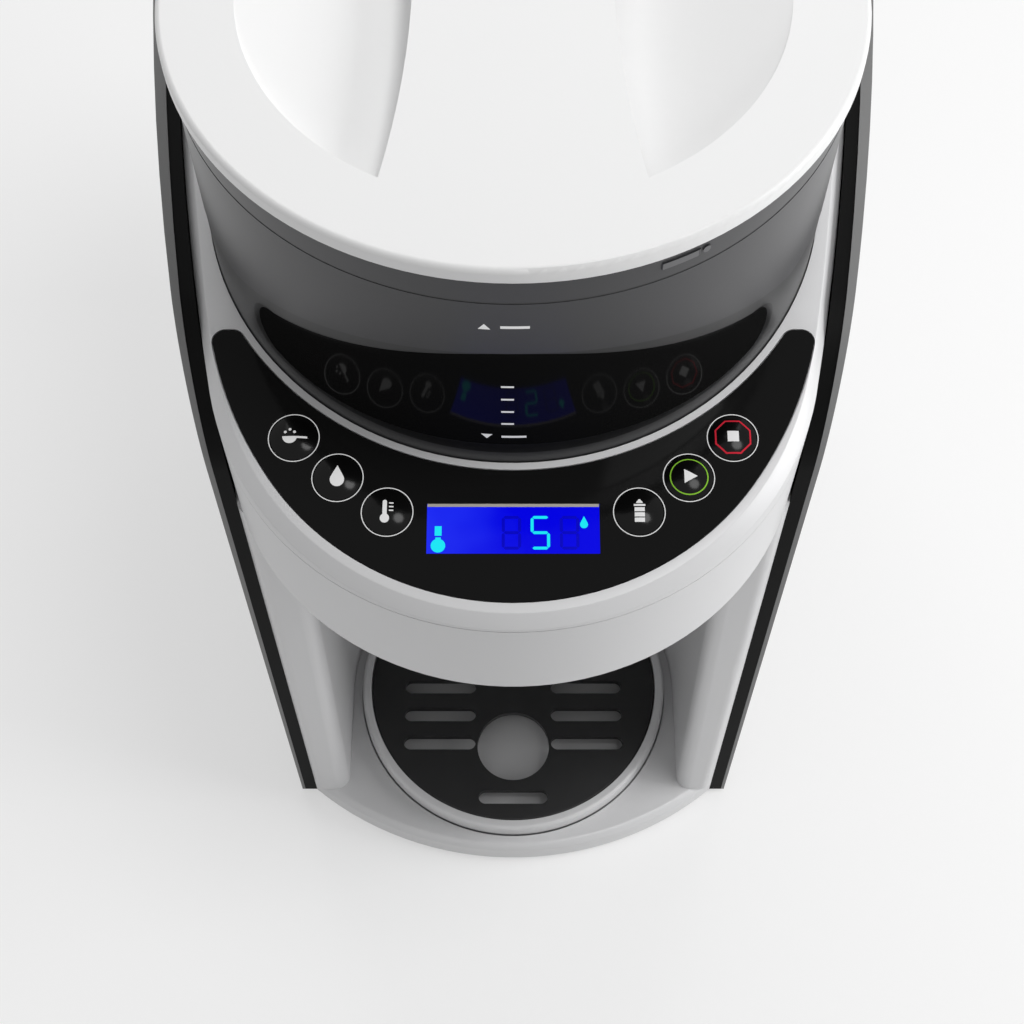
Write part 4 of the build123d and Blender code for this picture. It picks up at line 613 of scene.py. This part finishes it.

# Level marks in white ink that glows a little with painted light: a dash with a pointer for full on
# the wall; on the window a dash with a pointer for the lowest level, and short ticks between. The
# raised lock marks are painted lighter grey than the collar, a painted highlight for the light they
# catch from above.
bm = bmesh.new()
patch(bm, bar(-0.0032, 0.3275, 0.0041, 0.3286))
patch(bm, [(-0.0088, 0.3270), (-0.0056, 0.3270), (-0.0072, 0.3292)])
wrap(bm, wall_r + print_lift)
full_mark = piece("full_level_mark", bm, glowing_white_ink)
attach(full_mark, "container")
bm = bmesh.new()
patch(bm, bar(-0.0032, 0.2763, 0.0036, 0.2773))
patch(bm, [(-0.0088, 0.2779), (-0.0072, 0.2757), (-0.0056, 0.2779)])
for z in (0.2830, 0.2890, 0.2950, 0.3010):
    patch(bm, bar(-0.0032, z, 0.0002, z + 0.0008))
wrap(bm, wall_r - print_lift)
low_mark = piece("low_level_marks", bm, glowing_white_ink)
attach(low_mark, "container")
# Painted highlight: the lock marks' faces are a lighter grey than the smoke collar, as if lit from
# above.
lock_highlight_grey = moulded("lock_mark_painted_highlight", "6A6A6C", 0.3, 0.0030, 0.00002,
                    Specular_IOR_Level=0.3)
lock_low, lock_high, lock_rise = 0.3420, 0.3442, 0.00044
lock_z = (lock_low + lock_high) / 2
bm = bmesh.new()
patch(bm, bar(wall_r * radians(23.2), lock_low, wall_r * radians(29.4), lock_high))
patch(bm, arc(wall_r * radians(30.9), lock_z, 0.0011))
wrap(bm, wall_r + lock_rise)
lock_marks = piece("lock_mark_highlight_faces", bm, lock_highlight_grey)
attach(lock_marks, "container")

# ---------------------------------------------------------------- container lid and seal
# White gloss ABS lid with two finger recesses and the grip bar between them: an even white with
# soft highlights. The silicone seal is a dull, milky grey.
white_abs = moulded("white_gloss_abs", "EDEDED", 0.3, 0.0012, 0.00003, Specular_IOR_Level=0.4)
dress("container_lid", white_abs, crease=60.0)
silicone = moulded("silicone", "C9CACB", 0.5, 0.0010, 0.00003)
dress("lid_seal", silicone)

# ---------------------------------------------------------------- dosing drive
# Wheel, stirrer, gears and bush are moulded in off-white nylon; the spindle is plated steel. A
# small geared motor in a black ABS bracket drives them.
dress("powder_wheel", natural_nylon)
dress("stirrer", natural_nylon)
dress("drive_gear", natural_nylon)
dress("motor_pinion", natural_nylon)
dress("spindle_bush", natural_nylon)
dress("drive_bracket", black_abs)
dress("drive_spindle", zinc_steel)
dress("gear_motor", zinc_steel)

# ---------------------------------------------------------------- funnel, chute and nozzle
# The funnel is white polypropylene, a little duller than the lid, in a slide-out holder of white
# ABS; the chute and nozzle above it are fixed.
white_pp = moulded("white_polypropylene", "E4E4E2", 0.4, 0.0010, 0.00003)
dress("powder_chute", white_pp)
dress("funnel_holder", white_abs)
dress("funnel", white_pp)
dress("water_nozzle", white_pp)

# ---------------------------------------------------------------- drip tray and grid
# Tray of silver-painted ABS that lifts out of the base, with a loose grid of satin black ABS. The
# grid is slotted, with a round hole to lift it by.
dress("drip_tray", silver_paint)
dress("drip_grid", black_abs)

# ---------------------------------------------------------------- water tank
# Lightly smoked clear copolyester tank with a black hinge strip and a clear flap. The plastic is
# cool grey and lets most light through; its IOR is set under the real 1.57, so that the walls bend
# the view behind them less.
tank_smoke = new_material(
    "clear_smoke_copolyester", Base_Color=linear("C2C5C7"), Transmission_Weight=0.75,
    Roughness=0.08, IOR=1.2)[0]
dress("water_tank", tank_smoke)
dress("tank_lid", tank_smoke)
dress("tank_bridge", black_abs)
dress("tank_pin", zinc_steel)
dress("tank_valve", silicone)
dress("tank_shelf", black_abs)
dress("inlet_cup", black_abs)

# ---------------------------------------------------------------- water and power parts inside
# Pump, silicone hose, aluminium heater casting and power board stand in the rear casing. The
# casting is dull and grainy.
cast_aluminium = moulded("cast_aluminium", "A4A6A8", 0.4, 0.0010, 0.00005, Metallic=1.0)
dress("water_pump", black_abs)
dress("pump_hose", silicone)
dress("heater_block", cast_aluminium)
dress("power_board", board_green)

# ---------------------------------------------------------------- mains inlet and switch
# Appliance inlet and rocker switch, set into the lower rear of the casing. All of it is satin
# black ABS.
dress("power_inlet", black_abs)
dress("switch_frame", black_abs)
dress("power_rocker", black_abs)
